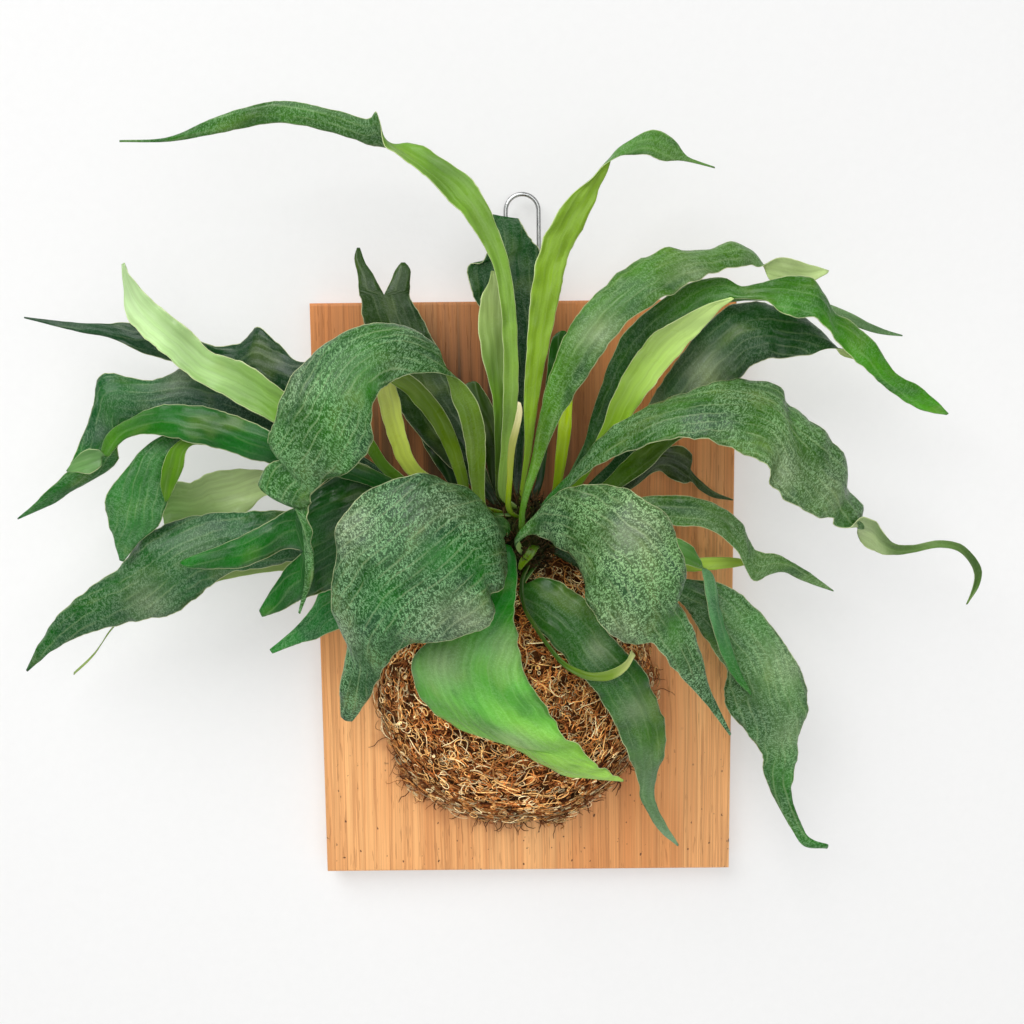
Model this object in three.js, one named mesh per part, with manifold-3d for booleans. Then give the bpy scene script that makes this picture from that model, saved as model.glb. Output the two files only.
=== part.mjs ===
// A staghorn fern mounted on a cedar board, with a wire loop to hang it by.
// Millimetres. +X is right, +Z is up, and the board's back lies in the plane y = 0, so that
// everything else stands in front of it, towards -Y. The origin is the centre of the board's back.
import * as THREE from 'three';
import { mergeVertices } from 'three/addons/utils/BufferGeometryUtils.js';
import Module from 'manifold-3d';

// Driving dimensions.
const BOARD = { width: 286, height: 400, thickness: 19, arris: 2 };
const WIRE = { diameter: 3, loopWidth: 22, rise: 72, legInBoard: 24, setBack: 11, holeClearance: 0.3 };
const ROOT_BALL = { x: -9, z: -58, halfWidth: 92, halfHeight: 98, rise: 46 };
const CROWN = { x: -3, z: 42, rise: 36, radiusX: 21, radiusY: 24, radiusZ: 23 };
const SEAT_GAP = 0.3;
const BLADE_THICKNESS = 1;
const STALK_THICKNESS = 2.2;
const STALK_ROWS = 3;

// Fronds are drawn on the board's face, and each point is then lifted off the face by its rise,
// along the line to this sight point, so that an outline keeps its shape whatever its depth.
const SIGHT = new THREE.Vector3(-6, -921, 190);

// Colours of the upper side of the fronds, and of the other parts.
const COLOURS = {
  deep: 0x2f5a3a,
  mid: 0x4d7f4a,
  pale: 0xa3c46c,
  bright: 0x63b23d,
  cream: 0xe6dfa8,
  wood: 0xcf8a52,
  moss: 0x7a5230,
  crown: 0x9a7450,
  steel: 0xb5b5b2,
};

// Every frond grows from the crown. Its seat says where: the bearing round the crown in degrees,
// 0 at the top and 90 at the right, the pitch out of the board's plane, and the stalk's width.
// Each row then gives the two margins of the blade, from stalk to tip:
// left x, z and rise, then right x, z and rise, as seen on the upper side with the tip ahead.
// Tines go on from the last row's left half and right half.
const FRONDS = [
  {
    name: 'frond_tall_left', colour: 'pale', seat: [-8, 36, 6], camber: 5,
    rows: [
      [-12, 70, 54, -18, 71, 54],
      [-9, 100, 60, -16, 100, 61],
      [-4, 134, 66, -14, 134, 68],
      [-4, 180, 74, -14, 181, 77],
      [-8, 220, 80, -19, 221, 82],
      [-19, 255, 84, -35, 251, 87],
      [-34, 281, 84, -54, 272, 89],
      [-49, 291, 83, -67, 285, 90],
      [-60, 298, 81, -75, 291, 90],
      [-69, 303, 80, -84, 297, 90],
      [-75, 304, 79, -90, 302, 89],
      [-80, 302, 78, -92, 309, 88],
      [-86, 300, 77, -93, 317, 87],
      [-95, 301, 77, -95, 324, 86],
      [-102, 303, 77, -101, 319, 84],
      [-119, 309, 78, -119, 324, 82],
      [-158, 317, 76, -158, 331, 78],
      [-198, 311, 72, -198, 322, 74],
      [-231, 306, 68, -231, 309, 69],
      [-264, 306, 64, -264, 307, 64],
    ],
  },
  {
    name: 'frond_tall_right', colour: 'pale', seat: [14, 30, 6], camber: 2,
    rows: [
      [-1, 66, 50, -4, 66, 50],
      [5, 100, 56, 0, 100, 57],
      [10, 134, 62, 0, 134, 64],
      [16, 165, 66, 2, 165, 69],
      [24, 200, 70, 5, 201, 74],
      [30, 227, 72, 10, 229, 77],
      [44, 255, 74, 24, 259, 79],
      [57, 286, 73, 47, 281, 79],
      [60, 294, 70, 58, 290, 78],
      [70, 303, 72, 68, 294, 76],
      [86, 310, 70, 82, 294, 73],
      [99, 305, 66, 93, 290, 68],
      [109, 293, 62, 106, 290, 63],
      [127, 286, 58, 127, 285, 58],
    ],
  },
  {
    name: 'frond_dark_upright', colour: 'deep', seat: [3, 0, 6], camber: -3,
    rows: [
      [-8, 80, 30, -2, 80, 30],
      [-10, 112, 32, 1, 112, 32],
      [-14, 150, 34, 5, 150, 34],
      [-22, 185, 36, 9, 185, 36],
      [-32, 201, 37, 11, 203, 37],
      [-37, 223, 38, 12, 231, 38],
      [-26, 226, 38, 7, 239, 38],
      [-22, 241, 38, 2, 246, 38],
      [-20, 257, 37, -2, 254, 37],
    ],
  },
  {
    name: 'frond_folded_upright', colour: 'pale', seat: [-14, 18, 5], camber: 4,
    rows: [
      [-15, 66, 42, -19, 66, 42],
      [-15, 100, 46, -20, 100, 47],
      [-12, 134, 48, -21, 134, 51],
      [-11, 160, 49, -27, 160, 54],
      [-12, 182, 50, -30, 182, 55],
      [-13, 202, 50, -28, 202, 54],
      [-16, 212, 50, -23, 212, 52],
      [-19, 220, 49, -21, 220, 49],
    ],
  },
  {
    name: 'frond_young', colour: 'cream', seat: [-3, 54, 4], camber: -1,
    rows: [
      [-13, 60, 63, -9, 60, 63],
      [-12, 82, 69, -8, 82, 69],
      [-11, 102, 74, -6, 102, 74],
      [-8, 114, 78, -3, 114, 78],
      [-5, 126, 81, -1, 126, 81],
      [-4, 133, 82, -2, 132, 82],
    ],
  },
  {
    name: 'frond_back_leaf_right', colour: 'mid', seat: [20, -4, 5], camber: 2,
    rows: [
      [8, 80, 28, 13, 80, 28],
      [11, 115, 30, 18, 115, 30],
      [15, 145, 31, 27, 145, 31],
      [17, 165, 32, 32, 165, 32],
      [20, 176, 32, 30, 177, 32],
      [25, 180, 32, 28, 180, 32],
    ],
  },
  {
    name: 'frond_back_strap_right', colour: 'pale', seat: [36, -4, 5], camber: 1,
    rows: [
      [23, 70, 32, 18, 70, 32],
      [29, 95, 36, 21, 95, 36],
      [32, 115, 38, 23, 115, 38],
      [33, 135, 38, 26, 135, 38],
      [36, 160, 37, 31, 162, 37],
      [40, 178, 35, 39, 179, 35],
    ],
  },
  {
    name: 'frond_right_arch', colour: 'mid', seat: [8, 74, 5], camber: 4, wave: 1,
    rows: [
      [-3, 62, 67, 1, 61, 68],
      [5, 95, 66, 12, 92, 70],
      [11, 125, 72, 24, 120, 78],
      [19, 155, 78, 41, 147, 86],
      [30, 181, 82, 56, 168, 92],
      [46, 201, 84, 73, 188, 94],
      [68, 221, 82, 98, 203, 92],
      [91, 232, 78, 118, 213, 88],
      [118, 232, 74, 132, 219, 84],
      [138, 237, 70, 146, 221, 80],
      [151, 233, 66, 152, 222, 74],
      [160, 222, 66, 158, 221, 73],
      [166, 211, 68, 172, 227, 70],
      [186, 208, 66, 188, 223, 66],
      [203, 216, 62, 204, 218, 62],
    ],
  },
  {
    name: 'frond_right_folded_dark', colour: 'deep', seat: [44, 20, 6], camber: 2, wave: 1,
    rows: [
      [21, 66, 44, 25, 63, 45],
      [38, 97, 50, 46, 92, 52],
      [46, 124, 54, 57, 118, 57],
      [53, 145, 58, 66, 137, 62],
      [65, 174, 62, 80, 158, 67],
      [85, 194, 66, 96, 175, 72],
      [112, 211, 68, 118, 190, 75],
      [133, 214, 70, 134, 199, 78],
      [146, 208, 76, 146, 200, 82],
      [160, 211, 80, 162, 198, 86],
      [185, 215, 80, 178, 188, 88],
      [199, 207, 78, 197, 186, 86],
      [208, 191, 75, 208, 173, 81],
      [221, 183, 71, 217, 164, 76],
      [236, 170, 68, 228, 154, 72],
      [250, 150, 62, 240, 143, 64],
      [266, 141, 56, 256, 131, 57],
      [278, 131, 52, 270, 124, 52],
      [287, 122, 48, 285, 121, 48],
    ],
  },
  {
    name: 'frond_right_folded_pale', colour: 'pale', seat: [48, 32, 5], camber: 2,
    rows: [
      [33, 68, 53, 28, 70, 53],
      [50, 92, 60, 43, 95, 60],
      [66, 112, 66, 53, 116, 65],
      [78, 130, 70, 60, 136, 69],
      [91, 147, 73, 73, 160, 72],
      [106, 165, 76, 88, 178, 76],
      [120, 180, 79, 108, 189, 80],
      [133, 194, 83, 124, 197, 83],
      [141, 200, 87, 139, 201, 87],
    ],
  },
  {
    name: 'frond_right_broad_dark', colour: 'deep', seat: [56, 6, 7], camber: 5, wave: 1,
    rows: [
      [22, 56, 34, 26, 52, 34],
      [45, 78, 40, 52, 72, 41],
      [66, 100, 46, 78, 92, 48],
      [85, 132, 52, 104, 106, 54],
      [102, 158, 56, 124, 128, 60],
      [124, 185, 58, 146, 148, 64],
      [146, 198, 58, 158, 158, 66],
      [168, 195, 56, 172, 160, 64],
      [190, 186, 52, 190, 162, 60],
      [207, 171, 48, 204, 166, 56],
      [213, 162, 46, 214, 166, 50],
      [222, 159, 46, 222, 164, 47],
      [233, 155, 44, 232, 156, 44],
    ],
  },
  {
    name: 'frond_right_front_arch', colour: 'mid', seat: [56, 44, 7], camber: 5, wave: 2,
    rows: [
      [14, 66, 64, 17, 60, 66],
      [32, 85, 70, 34, 77, 74],
      [50, 106, 76, 52, 90, 84],
      [78, 126, 84, 77, 101, 96],
      [104, 137, 88, 102, 106, 106],
      [130, 143, 88, 128, 105, 114],
      [147, 148, 86, 147, 97, 118],
      [170, 142, 86, 163, 86, 120],
      [178, 130, 90, 172, 74, 120],
      [195, 119, 92, 177, 63, 118],
      [209, 103, 92, 190, 57, 112],
      [219, 91, 90, 202, 52, 106],
      [221, 72, 86, 208, 51, 101],
      [230, 60, 83, 212, 48, 99],
      [231, 52, 81, 215, 45, 98],
      [231, 45, 79, 220, 44, 97],
      [229, 38, 78, 226, 47, 95],
      [231, 33, 77, 232, 51, 92],
      [237, 29, 76, 239, 50, 87],
      [245, 26, 75, 246, 40, 80],
      [255, 25, 73, 254, 33, 74],
      [268, 27, 70, 266, 32, 68],
      [285, 30, 64, 284, 35, 64],
      [299, 26, 60, 301, 31, 60],
      [308, 14, 56, 313, 16, 56],
      [308, 2, 54, 313, 4, 54],
      [304, -10, 54, 305, -10, 54],
    ],
  },
  {
    name: 'frond_right_small_wavy', colour: 'deep', seat: [74, -14, 4], camber: 1, wave: 1,
    rows: [
      [40, 60, 22, 43, 56, 22],
      [68, 80, 24, 72, 72, 25],
      [86, 98, 24, 90, 85, 25],
      [104, 102, 24, 98, 80, 26],
      [114, 96, 24, 108, 76, 27],
      [112, 87, 24, 114, 77, 26],
      [121, 77, 23, 120, 71, 24],
      [130, 70, 22, 129, 66, 22],
      [142, 65, 20, 142, 64, 20],
    ],
  },
  {
    name: 'frond_right_middle', colour: 'mid', seat: [80, 20, 6], camber: 3, wave: 1,
    rows: [
      [30, 52, 44, 32, 46, 45],
      [58, 62, 50, 60, 50, 52],
      [82, 67, 54, 84, 50, 58],
      [106, 68, 58, 104, 47, 63],
      [130, 62, 60, 124, 45, 66],
      [144, 52, 60, 138, 36, 66],
      [152, 43, 58, 146, 28, 64],
      [155, 33, 56, 150, 20, 60],
      [162, 28, 54, 157, 8, 56],
      [174, 26, 52, 168, 12, 53],
      [185, 20, 49, 178, 14, 50],
      [196, 13, 46, 190, 8, 46],
      [212, 1, 40, 212, 0, 40],
    ],
  },
  {
    name: 'frond_crown_folded', colour: 'pale', seat: [112, 58, 4], camber: -2,
    rows: [
      [9, 32, 64, 3, 34, 64],
      [6, 27, 66, 0, 29, 66],
      [1, 22, 65, -4, 24, 65],
      [-3, 17, 62, -5, 18, 62],
    ],
  },
  {
    name: 'frond_right_narrow', colour: 'pale', seat: [96, 2, 5], camber: 1,
    rows: [
      [40, 26, 34, 40, 31, 34],
      [80, 18, 36, 80, 25, 36],
      [110, 15, 36, 110, 24, 36],
      [130, 16, 34, 130, 25, 34],
      [146, 18, 32, 146, 24, 32],
      [155, 20, 30, 155, 21, 30],
    ],
  },
  {
    name: 'frond_right_twisted', colour: 'mid', seat: [104, 26, 5], camber: 2,
    rows: [
      [50, 34, 56, 50, 40, 56],
      [80, 32, 61, 84, 43, 60],
      [102, 22, 64, 110, 36, 60],
      [117, 18, 63, 120, 24, 57],
      [129, 13, 58, 122, 12, 62],
      [134, -10, 56, 126, -12, 62],
      [142, -36, 56, 134, -40, 60],
      [150, -58, 56, 144, -60, 58],
      [157, -72, 56, 156, -73, 56],
    ],
  },
  {
    name: 'frond_right_low', colour: 'mid', seat: [112, 0, 6], camber: 5, wave: 2,
    rows: [
      [45, 21, 27, 43, 15, 27],
      [82, 16, 36, 76, 4, 36],
      [112, 10, 40, 106, -6, 40],
      [136, 6, 43, 116, -20, 44],
      [160, -12, 45, 128, -38, 46],
      [180, -38, 46, 140, -58, 48],
      [194, -62, 46, 138, -78, 48],
      [196, -84, 45, 152, -98, 48],
      [191, -100, 44, 160, -108, 46],
      [190, -118, 42, 166, -120, 44],
      [187, -132, 41, 166, -130, 42],
      [187, -150, 40, 176, -152, 40],
      [194, -168, 38, 186, -170, 38],
      [200, -178, 36, 196, -184, 36],
      [213, -183, 32, 212, -186, 32],
    ],
  },
  {
    name: 'frond_front_right', colour: 'mid', seat: [172, 70, 5], camber: 6, wave: 2,
    rows: [
      [-4, 42, 73, -6, 35, 73],
      [5, 54, 78, 5, 42, 79],
      [22, 70, 88, 18, 36, 90],
      [44, 76, 104, 33, 24, 106],
      [66, 74, 116, 42, 6, 120],
      [84, 64, 124, 43, -8, 130],
      [99, 52, 130, 48, -16, 136],
      [105, 34, 132, 60, -30, 138],
      [110, 12, 130, 74, -36, 136],
      [106, -6, 128, 88, -36, 134],
      [113, -20, 126, 98, -48, 130],
      [122, -44, 122, 108, -60, 126],
      [128, -68, 118, 124, -78, 120],
      [143, -101, 112, 142, -102, 112],
    ],
  },
  {
    name: 'frond_low_middle', colour: 'mid', seat: [150, 28, 7], camber: 4, wave: 1,
    rows: [
      [0, 8, 60, -4, 2, 60],
      [12, 12, 66, 0, -12, 66],
      [30, 5, 72, 10, -26, 74],
      [48, -12, 76, 24, -42, 80],
      [62, -34, 80, 38, -58, 84],
      [80, -52, 78, 50, -72, 84],
      [90, -74, 74, 60, -90, 80],
      [97, -95, 70, 68, -108, 74],
      [96, -116, 66, 75, -126, 68],
      [91, -132, 62, 79, -138, 62],
      [90, -148, 58, 80, -148, 58],
      [97, -165, 54, 92, -170, 54],
      [107, -182, 50, 106, -183, 50],
    ],
  },
  {
    name: 'frond_low_middle_curl', colour: 'pale', seat: [160, 46, 3], camber: -2,
    rows: [
      [-1, 10, 66, -4, 9, 66],
      [0, -8, 70, -2, -10, 70],
      [7, -21, 76, 5, -23, 76],
      [16, -35, 82, 14, -37, 82],
      [26, -47, 87, 24, -50, 87],
      [36, -53, 90, 35, -58, 91],
      [47, -56, 91, 47, -62, 92],
      [59, -54, 91, 60, -61, 91],
      [69, -48, 88, 70, -54, 88],
      [73, -40, 84, 76, -44, 84],
    ],
  },
  {
    name: 'frond_low_bright', colour: 'bright', seat: [212, 60, 5], camber: 5, wave: 1,
    rows: [
      [-9, 32, 76, -17, 34, 76],
      [-6, 23, 80, -20, 24, 80],
      [-6, 6, 87, -25, 7, 87],
      [-8, -14, 96, -40, -12, 94],
      [-5, -36, 102, -64, -30, 98],
      [-1, -56, 104, -79, -45, 99],
      [8, -72, 104, -77, -66, 98],
      [18, -88, 102, -64, -84, 96],
      [28, -102, 98, -42, -97, 92],
      [40, -114, 92, -24, -96, 88],
      [48, -121, 86, -6, -112, 84],
      [56, -127, 80, 20, -127, 80],
      [68, -134, 74, 67, -135, 74],
    ],
  },
  {
    name: 'frond_front_left', colour: 'mid', seat: [-60, 62, 8], camber: 7, wave: 2,
    rows: [
      [-13, 43, 76, -15, 54, 76],
      [-15, 34, 90, -30, 62, 91],
      [-15, 16, 108, -44, 75, 106],
      [-16, 5, 120, -58, 83, 116],
      [-23, -1, 128, -76, 84, 124],
      [-22, -15, 132, -97, 78, 130],
      [-32, -26, 134, -116, 66, 134],
      [-52, -31, 134, -129, 49, 136],
      [-71, -33, 132, -130, 28, 136],
      [-86, -38, 130, -134, 6, 134],
      [-97, -48, 126, -132, -16, 130],
      [-104, -61, 122, -125, -36, 124],
      [-112, -76, 116, -130, -66, 118],
      [-122, -89, 110, -130, -86, 111],
    ],
  },
  {
    name: 'frond_left_over_arch', colour: 'mid', seat: [-32, 46, 7], camber: 6, wave: 1,
    rows: [
      [-25, 58, 66, -32, 58, 66],
      [-27, 80, 76, -37, 80, 76],
      [-26, 104, 86, -40, 103, 86],
      [-28, 122, 94, -43, 120, 95],
      [-34, 138, 102, -48, 134, 104],
      [-45, 149, 111, -52, 151, 110],
      [-56, 152, 124, -55, 160, 112],
      [-70, 153, 132, -59, 171, 116],
      [-82, 150, 138, -74, 182, 120],
      [-94, 144, 142, -94, 187, 124],
      [-101, 134, 144, -120, 180, 128],
      [-103, 116, 144, -144, 165, 130],
      [-106, 100, 142, -160, 144, 132],
      [-118, 88, 138, -170, 120, 130],
      [-134, 80, 132, -174, 107, 126],
      [-145, 72, 126, -162, 98, 120],
      [-146, 67, 124, -176, 90, 116],
      [-147, 63, 122, -182, 78, 112],
      [-148, 58, 120, -167, 80, 114],
      [-148, 51, 118, -157, 72, 113],
      [-146, 36, 112, -152, 46, 110],
      [-146, 14, 104, -152, 14, 103],
      [-156, -12, 96, -157, -11, 96],
    ],
  },
  {
    name: 'frond_back_antler', colour: 'deep', seat: [-38, -4, 7], camber: 3,
    rows: [
      [-25, 66, 26, -20, 70, 26],
      [-56, 94, 28, -32, 106, 28],
      [-80, 122, 30, -44, 138, 30],
      [-98, 154, 32, -56, 166, 32],
      [-106, 184, 34, -65, 184, 34],
      [-109, 205, 34, -76, 205, 34],
    ],
    tines: [
      [[-110, 219, 33, -100, 219, 33], [-112, 229, 31, -105, 227, 31], [-110, 236, 29, -108, 236, 29]],
      [[-88, 214, 34, -75, 215, 34], [-85, 221, 33, -75, 222, 33], [-81, 226, 32, -78, 226, 32]],
    ],
  },
  {
    name: 'frond_back_strap_left', colour: 'pale', seat: [-54, 14, 5], camber: 2,
    rows: [
      [-33, 60, 44, -38, 56, 44],
      [-58, 79, 52, -65, 74, 52],
      [-73, 92, 60, -83, 88, 60],
      [-80, 112, 66, -92, 109, 66],
      [-84, 135, 72, -98, 132, 72],
      [-88, 150, 76, -100, 146, 76],
      [-96, 164, 78, -106, 160, 78],
      [-109, 173, 78, -111, 171, 78],
    ],
  },
  {
    name: 'frond_far_left_dark', colour: 'deep', seat: [-42, 30, 6], camber: 2, wave: 1,
    rows: [
      [-35, 66, 58, -40, 63, 58],
      [-39, 84, 66, -47, 82, 66],
      [-44, 104, 74, -54, 101, 74],
      [-52, 124, 82, -64, 120, 82],
      [-66, 143, 90, -80, 139, 90],
      [-80, 154, 94, -92, 148, 94],
      [-100, 166, 96, -106, 158, 96],
      [-120, 168, 94, -122, 166, 86],
      [-148, 146, 88, -150, 161, 82],
      [-168, 140, 82, -164, 173, 76],
      [-180, 141, 79, -178, 185, 73],
      [-191, 142, 76, -188, 176, 70],
      [-206, 148, 70, -204, 172, 66],
      [-222, 158, 64, -222, 178, 60],
      [-238, 163, 58, -245, 190, 54],
      [-256, 168, 56, -264, 189, 52],
      [-276, 178, 52, -280, 188, 50],
      [-300, 183, 48, -302, 189, 46],
      [-334, 192, 42, -334, 193, 42],
    ],
  },
  {
    name: 'frond_left_light', colour: 'pale', seat: [-68, 24, 6], camber: 4, wave: 1,
    rows: [
      [-40, 52, 56, -40, 46, 56],
      [-66, 70, 66, -70, 63, 66],
      [-92, 92, 72, -97, 86, 72],
      [-106, 112, 78, -112, 104, 78],
      [-132, 124, 84, -138, 108, 84],
      [-158, 138, 90, -164, 118, 90],
      [-178, 155, 92, -180, 126, 94],
      [-196, 164, 92, -204, 140, 96],
      [-212, 170, 90, -222, 150, 94],
      [-224, 184, 88, -238, 164, 92],
      [-240, 196, 86, -254, 178, 88],
      [-252, 208, 84, -265, 192, 85],
      [-262, 220, 82, -267, 206, 82],
      [-265, 228, 80, -267, 227, 80],
    ],
  },
  {
    name: 'frond_far_left_blue', colour: 'deep', seat: [-74, 0, 6], camber: 4, wave: 1,
    rows: [
      [-44, 44, 30, -44, 50, 30],
      [-90, 72, 34, -90, 84, 34],
      [-134, 98, 40, -134, 112, 40],
      [-170, 112, 44, -168, 134, 42],
      [-200, 118, 48, -194, 148, 44],
      [-226, 122, 50, -226, 158, 44],
      [-250, 124, 52, -250, 150, 46],
      [-270, 120, 54, -284, 154, 48],
      [-276, 114, 56, -291, 134, 52],
      [-276, 104, 58, -300, 112, 56],
      [-277, 94, 58, -308, 94, 58],
      [-292, 84, 56, -316, 84, 58],
      [-310, 74, 54, -328, 74, 56],
      [-326, 65, 50, -336, 66, 52],
      [-347, 56, 46, -347, 57, 46],
    ],
  },
  {
    name: 'frond_left_green_arch', colour: 'bright', seat: [-82, 38, 6], camber: 4, wave: 1,
    rows: [
      [-36, 46, 68, -37, 52, 68],
      [-70, 62, 80, -72, 72, 80],
      [-110, 78, 92, -112, 92, 92],
      [-150, 88, 98, -150, 106, 98],
      [-180, 94, 98, -178, 118, 98],
      [-204, 102, 94, -202, 128, 90],
      [-228, 108, 90, -226, 133, 84],
      [-250, 113, 84, -248, 132, 78],
      [-266, 112, 78, -268, 124, 74],
      [-276, 106, 74, -283, 113, 72],
      [-283, 98, 72, -288, 101, 70],
      [-289, 103, 73, -288, 92, 75],
      [-299, 103, 72, -297, 87, 76],
      [-306, 97, 70, -304, 88, 73],
      [-312, 89, 68, -311, 88, 69],
    ],
  },
  {
    name: 'frond_left_hanging_light', colour: 'pale', seat: [-88, 26, 5], camber: 2,
    rows: [
      [-46, 42, 60, -45, 36, 60],
      [-94, 72, 70, -92, 64, 70],
      [-142, 96, 76, -140, 86, 76],
      [-186, 112, 80, -186, 102, 80],
      [-218, 115, 80, -214, 106, 80],
      [-238, 106, 80, -228, 104, 80],
      [-246, 92, 80, -232, 91, 80],
      [-248, 78, 79, -239, 76, 79],
      [-246, 67, 78, -244, 67, 78],
    ],
  },
  {
    name: 'frond_left_hanging_dark', colour: 'mid', seat: [-90, 12, 6], camber: 4, wave: 1,
    rows: [
      [-44, 34, 46, -45, 40, 46],
      [-92, 58, 54, -94, 68, 54],
      [-140, 80, 62, -142, 94, 60],
      [-186, 98, 66, -186, 114, 64],
      [-222, 106, 68, -228, 118, 66],
      [-242, 98, 70, -256, 106, 68],
      [-246, 84, 71, -273, 88, 70],
      [-244, 66, 71, -286, 70, 70],
      [-252, 50, 71, -286, 54, 70],
      [-266, 38, 70, -282, 42, 69],
      [-276, 26, 67, -279, 27, 67],
    ],
  },
  {
    name: 'frond_left_olive', colour: 'pale', seat: [-98, -2, 6], camber: 4, wave: 2,
    rows: [
      [-48, 30, 26, -48, 25, 26],
      [-90, 52, 30, -90, 42, 30],
      [-130, 73, 36, -130, 60, 36],
      [-158, 82, 40, -158, 70, 40],
      [-180, 88, 42, -178, 70, 42],
      [-200, 89, 42, -192, 58, 44],
      [-216, 86, 42, -212, 52, 42],
      [-228, 80, 40, -232, 48, 40],
      [-240, 80, 38, -244, 50, 38],
      [-250, 66, 36, -249, 60, 36],
    ],
  },
  {
    name: 'frond_left_low', colour: 'mid', seat: [-106, 6, 7], camber: 6, wave: 2,
    rows: [
      [-45, 22, 38, -46, 29, 38],
      [-90, 26, 50, -92, 42, 50],
      [-130, 28, 56, -132, 58, 54],
      [-158, 25, 60, -158, 60, 56],
      [-182, 20, 62, -184, 60, 58],
      [-203, 17, 64, -212, 59, 58],
      [-224, 3, 65, -240, 54, 59],
      [-243, -11, 65, -262, 42, 59],
      [-264, -15, 63, -280, 22, 59],
      [-287, -20, 61, -300, 8, 57],
      [-308, -26, 57, -322, -10, 55],
      [-328, -36, 54, -336, -28, 52],
      [-347, -51, 48, -348, -50, 48],
    ],
  },
  {
    name: 'frond_left_tined', colour: 'mid', seat: [-110, 42, 7], camber: 5,
    rows: [
      [-36, 30, 66, -38, 38, 66],
      [-66, 26, 78, -66, 56, 76],
      [-92, 18, 86, -92, 78, 82],
      [-116, 8, 90, -112, 92, 84],
      [-136, 4, 92, -134, 80, 86],
      [-150, 0, 92, -152, 66, 88],
    ],
    tines: [
      [[-160, -5, 90, -165, 20, 89], [-172, -11, 88, -176, 4, 87], [-182, -14, 85, -184, -9, 85]],
      [
        [-166, 33, 88, -166, 58, 87],
        [-190, 22, 87, -188, 46, 85],
        [-214, 20, 85, -208, 37, 83],
        [-231, 21, 82, -227, 30, 82],
        [-237, 24, 80, -236, 26, 80],
      ],
    ],
  },
  {
    name: 'frond_left_low_lobe', colour: 'mid', seat: [-124, 8, 6], camber: 3,
    rows: [
      [-44, 8, 38, -46, 14, 38],
      [-80, -8, 45, -84, 8, 45],
      [-112, -18, 48, -118, 12, 48],
      [-132, -24, 50, -138, 8, 50],
      [-146, -30, 50, -148, -8, 50],
      [-160, -34, 50, -160, -22, 50],
      [-176, -40, 48, -178, -37, 48],
    ],
  },
  {
    name: 'frond_left_thin_tail', colour: 'pale', seat: [-112, -8, 4], camber: 1,
    rows: [
      [-48, 16, 33, -48, 11, 33],
      [-110, 20, 32, -110, 12, 32],
      [-170, 26, 36, -170, 18, 36],
      [-230, 14, 38, -232, 6, 38],
      [-270, -4, 40, -272, -10, 40],
      [-286, -20, 40, -288, -23, 40],
      [-300, -38, 40, -301, -41, 40],
      [-315, -52, 38, -315, -54, 38],
    ],
  },
  {
    name: 'frond_back_leaf_left', colour: 'deep', seat: [-16, -12, 5], camber: 2,
    rows: [
      [-21, 66, 21, -16, 66, 21],
      [-26, 92, 22, -17, 92, 22],
      [-34, 112, 25, -16, 114, 25],
      [-42, 130, 26, -22, 132, 26],
      [-42, 142, 26, -30, 145, 26],
      [-37, 146, 26, -34, 147, 26],
    ],
  },
  {
    name: 'frond_small_cupped', colour: 'mid', seat: [-58, -8, 5], camber: 2,
    rows: [
      [-40, 62, 22, -36, 66, 22],
      [-56, 84, 23, -46, 90, 23],
      [-66, 100, 24, -50, 106, 24],
      [-71, 112, 25, -56, 118, 25],
      [-69, 119, 26, -60, 121, 26],
    ],
  },
  {
    name: 'frond_right_hidden_strap', colour: 'pale', seat: [68, 30, 5], camber: 1,
    rows: [
      [30, 60, 56, 34, 56, 57],
      [52, 76, 62, 60, 70, 64],
      [72, 96, 68, 84, 86, 71],
      [92, 108, 74, 102, 104, 78],
      [112, 118, 77, 120, 112, 80],
      [134, 123, 79, 136, 119, 80],
    ],
  },
  {
    name: 'frond_right_thin_tip', colour: 'deep', seat: [36, 9, 4], camber: 1,
    rows: [
      [22, 69, 37, 25, 67, 37],
      [48, 118, 46, 52, 115, 46],
      [72, 158, 53, 77, 154, 53],
      [100, 190, 57, 104, 185, 57],
      [140, 204, 60, 141, 198, 60],
      [180, 203, 63, 179, 196, 63],
      [212, 193, 65, 210, 186, 65],
      [232, 183, 63, 230, 178, 63],
      [244, 178, 61, 243, 175, 61],
      [254, 175, 59, 254, 174, 59],
    ],
  },
];

const BLADE_STEP = 22;
const CELLS_ACROSS = 3;
const CELLS_ACROSS_FORKED = 4;
const CAMBER_WIDTH = 40;

const wasm = await Module();
wasm.setup();

function lifted(x, z, rise) {
  const onFace = new THREE.Vector3(x, -BOARD.thickness, z);
  return onFace.lerp(SIGHT, rise / (-SIGHT.y - BOARD.thickness));
}

const crownCentre = lifted(CROWN.x, CROWN.z, CROWN.rise);
const crownRadii = new THREE.Vector3(CROWN.radiusX, CROWN.radiusY, CROWN.radiusZ);

// A smooth curve through the points, where at counts points and may be a fraction.
function splineAt(points, at) {
  const last = points.length - 1;
  const i = Math.min(Math.floor(at), last - 1);
  const t = at - i;
  const p1 = points[i];
  const p2 = points[i + 1];
  const p0 = i > 0 ? points[i - 1] : p1.clone().multiplyScalar(2).sub(p2);
  const p3 = i + 2 <= last ? points[i + 2] : p2.clone().multiplyScalar(2).sub(p1);
  return new THREE.Vector3()
    .addScaledVector(p0, (-t + 2 * t * t - t * t * t) / 2)
    .addScaledVector(p1, (2 - 5 * t * t + 3 * t * t * t) / 2)
    .addScaledVector(p2, (t + 4 * t * t - 3 * t * t * t) / 2)
    .addScaledVector(p3, (-t * t + t * t * t) / 2);
}

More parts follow.
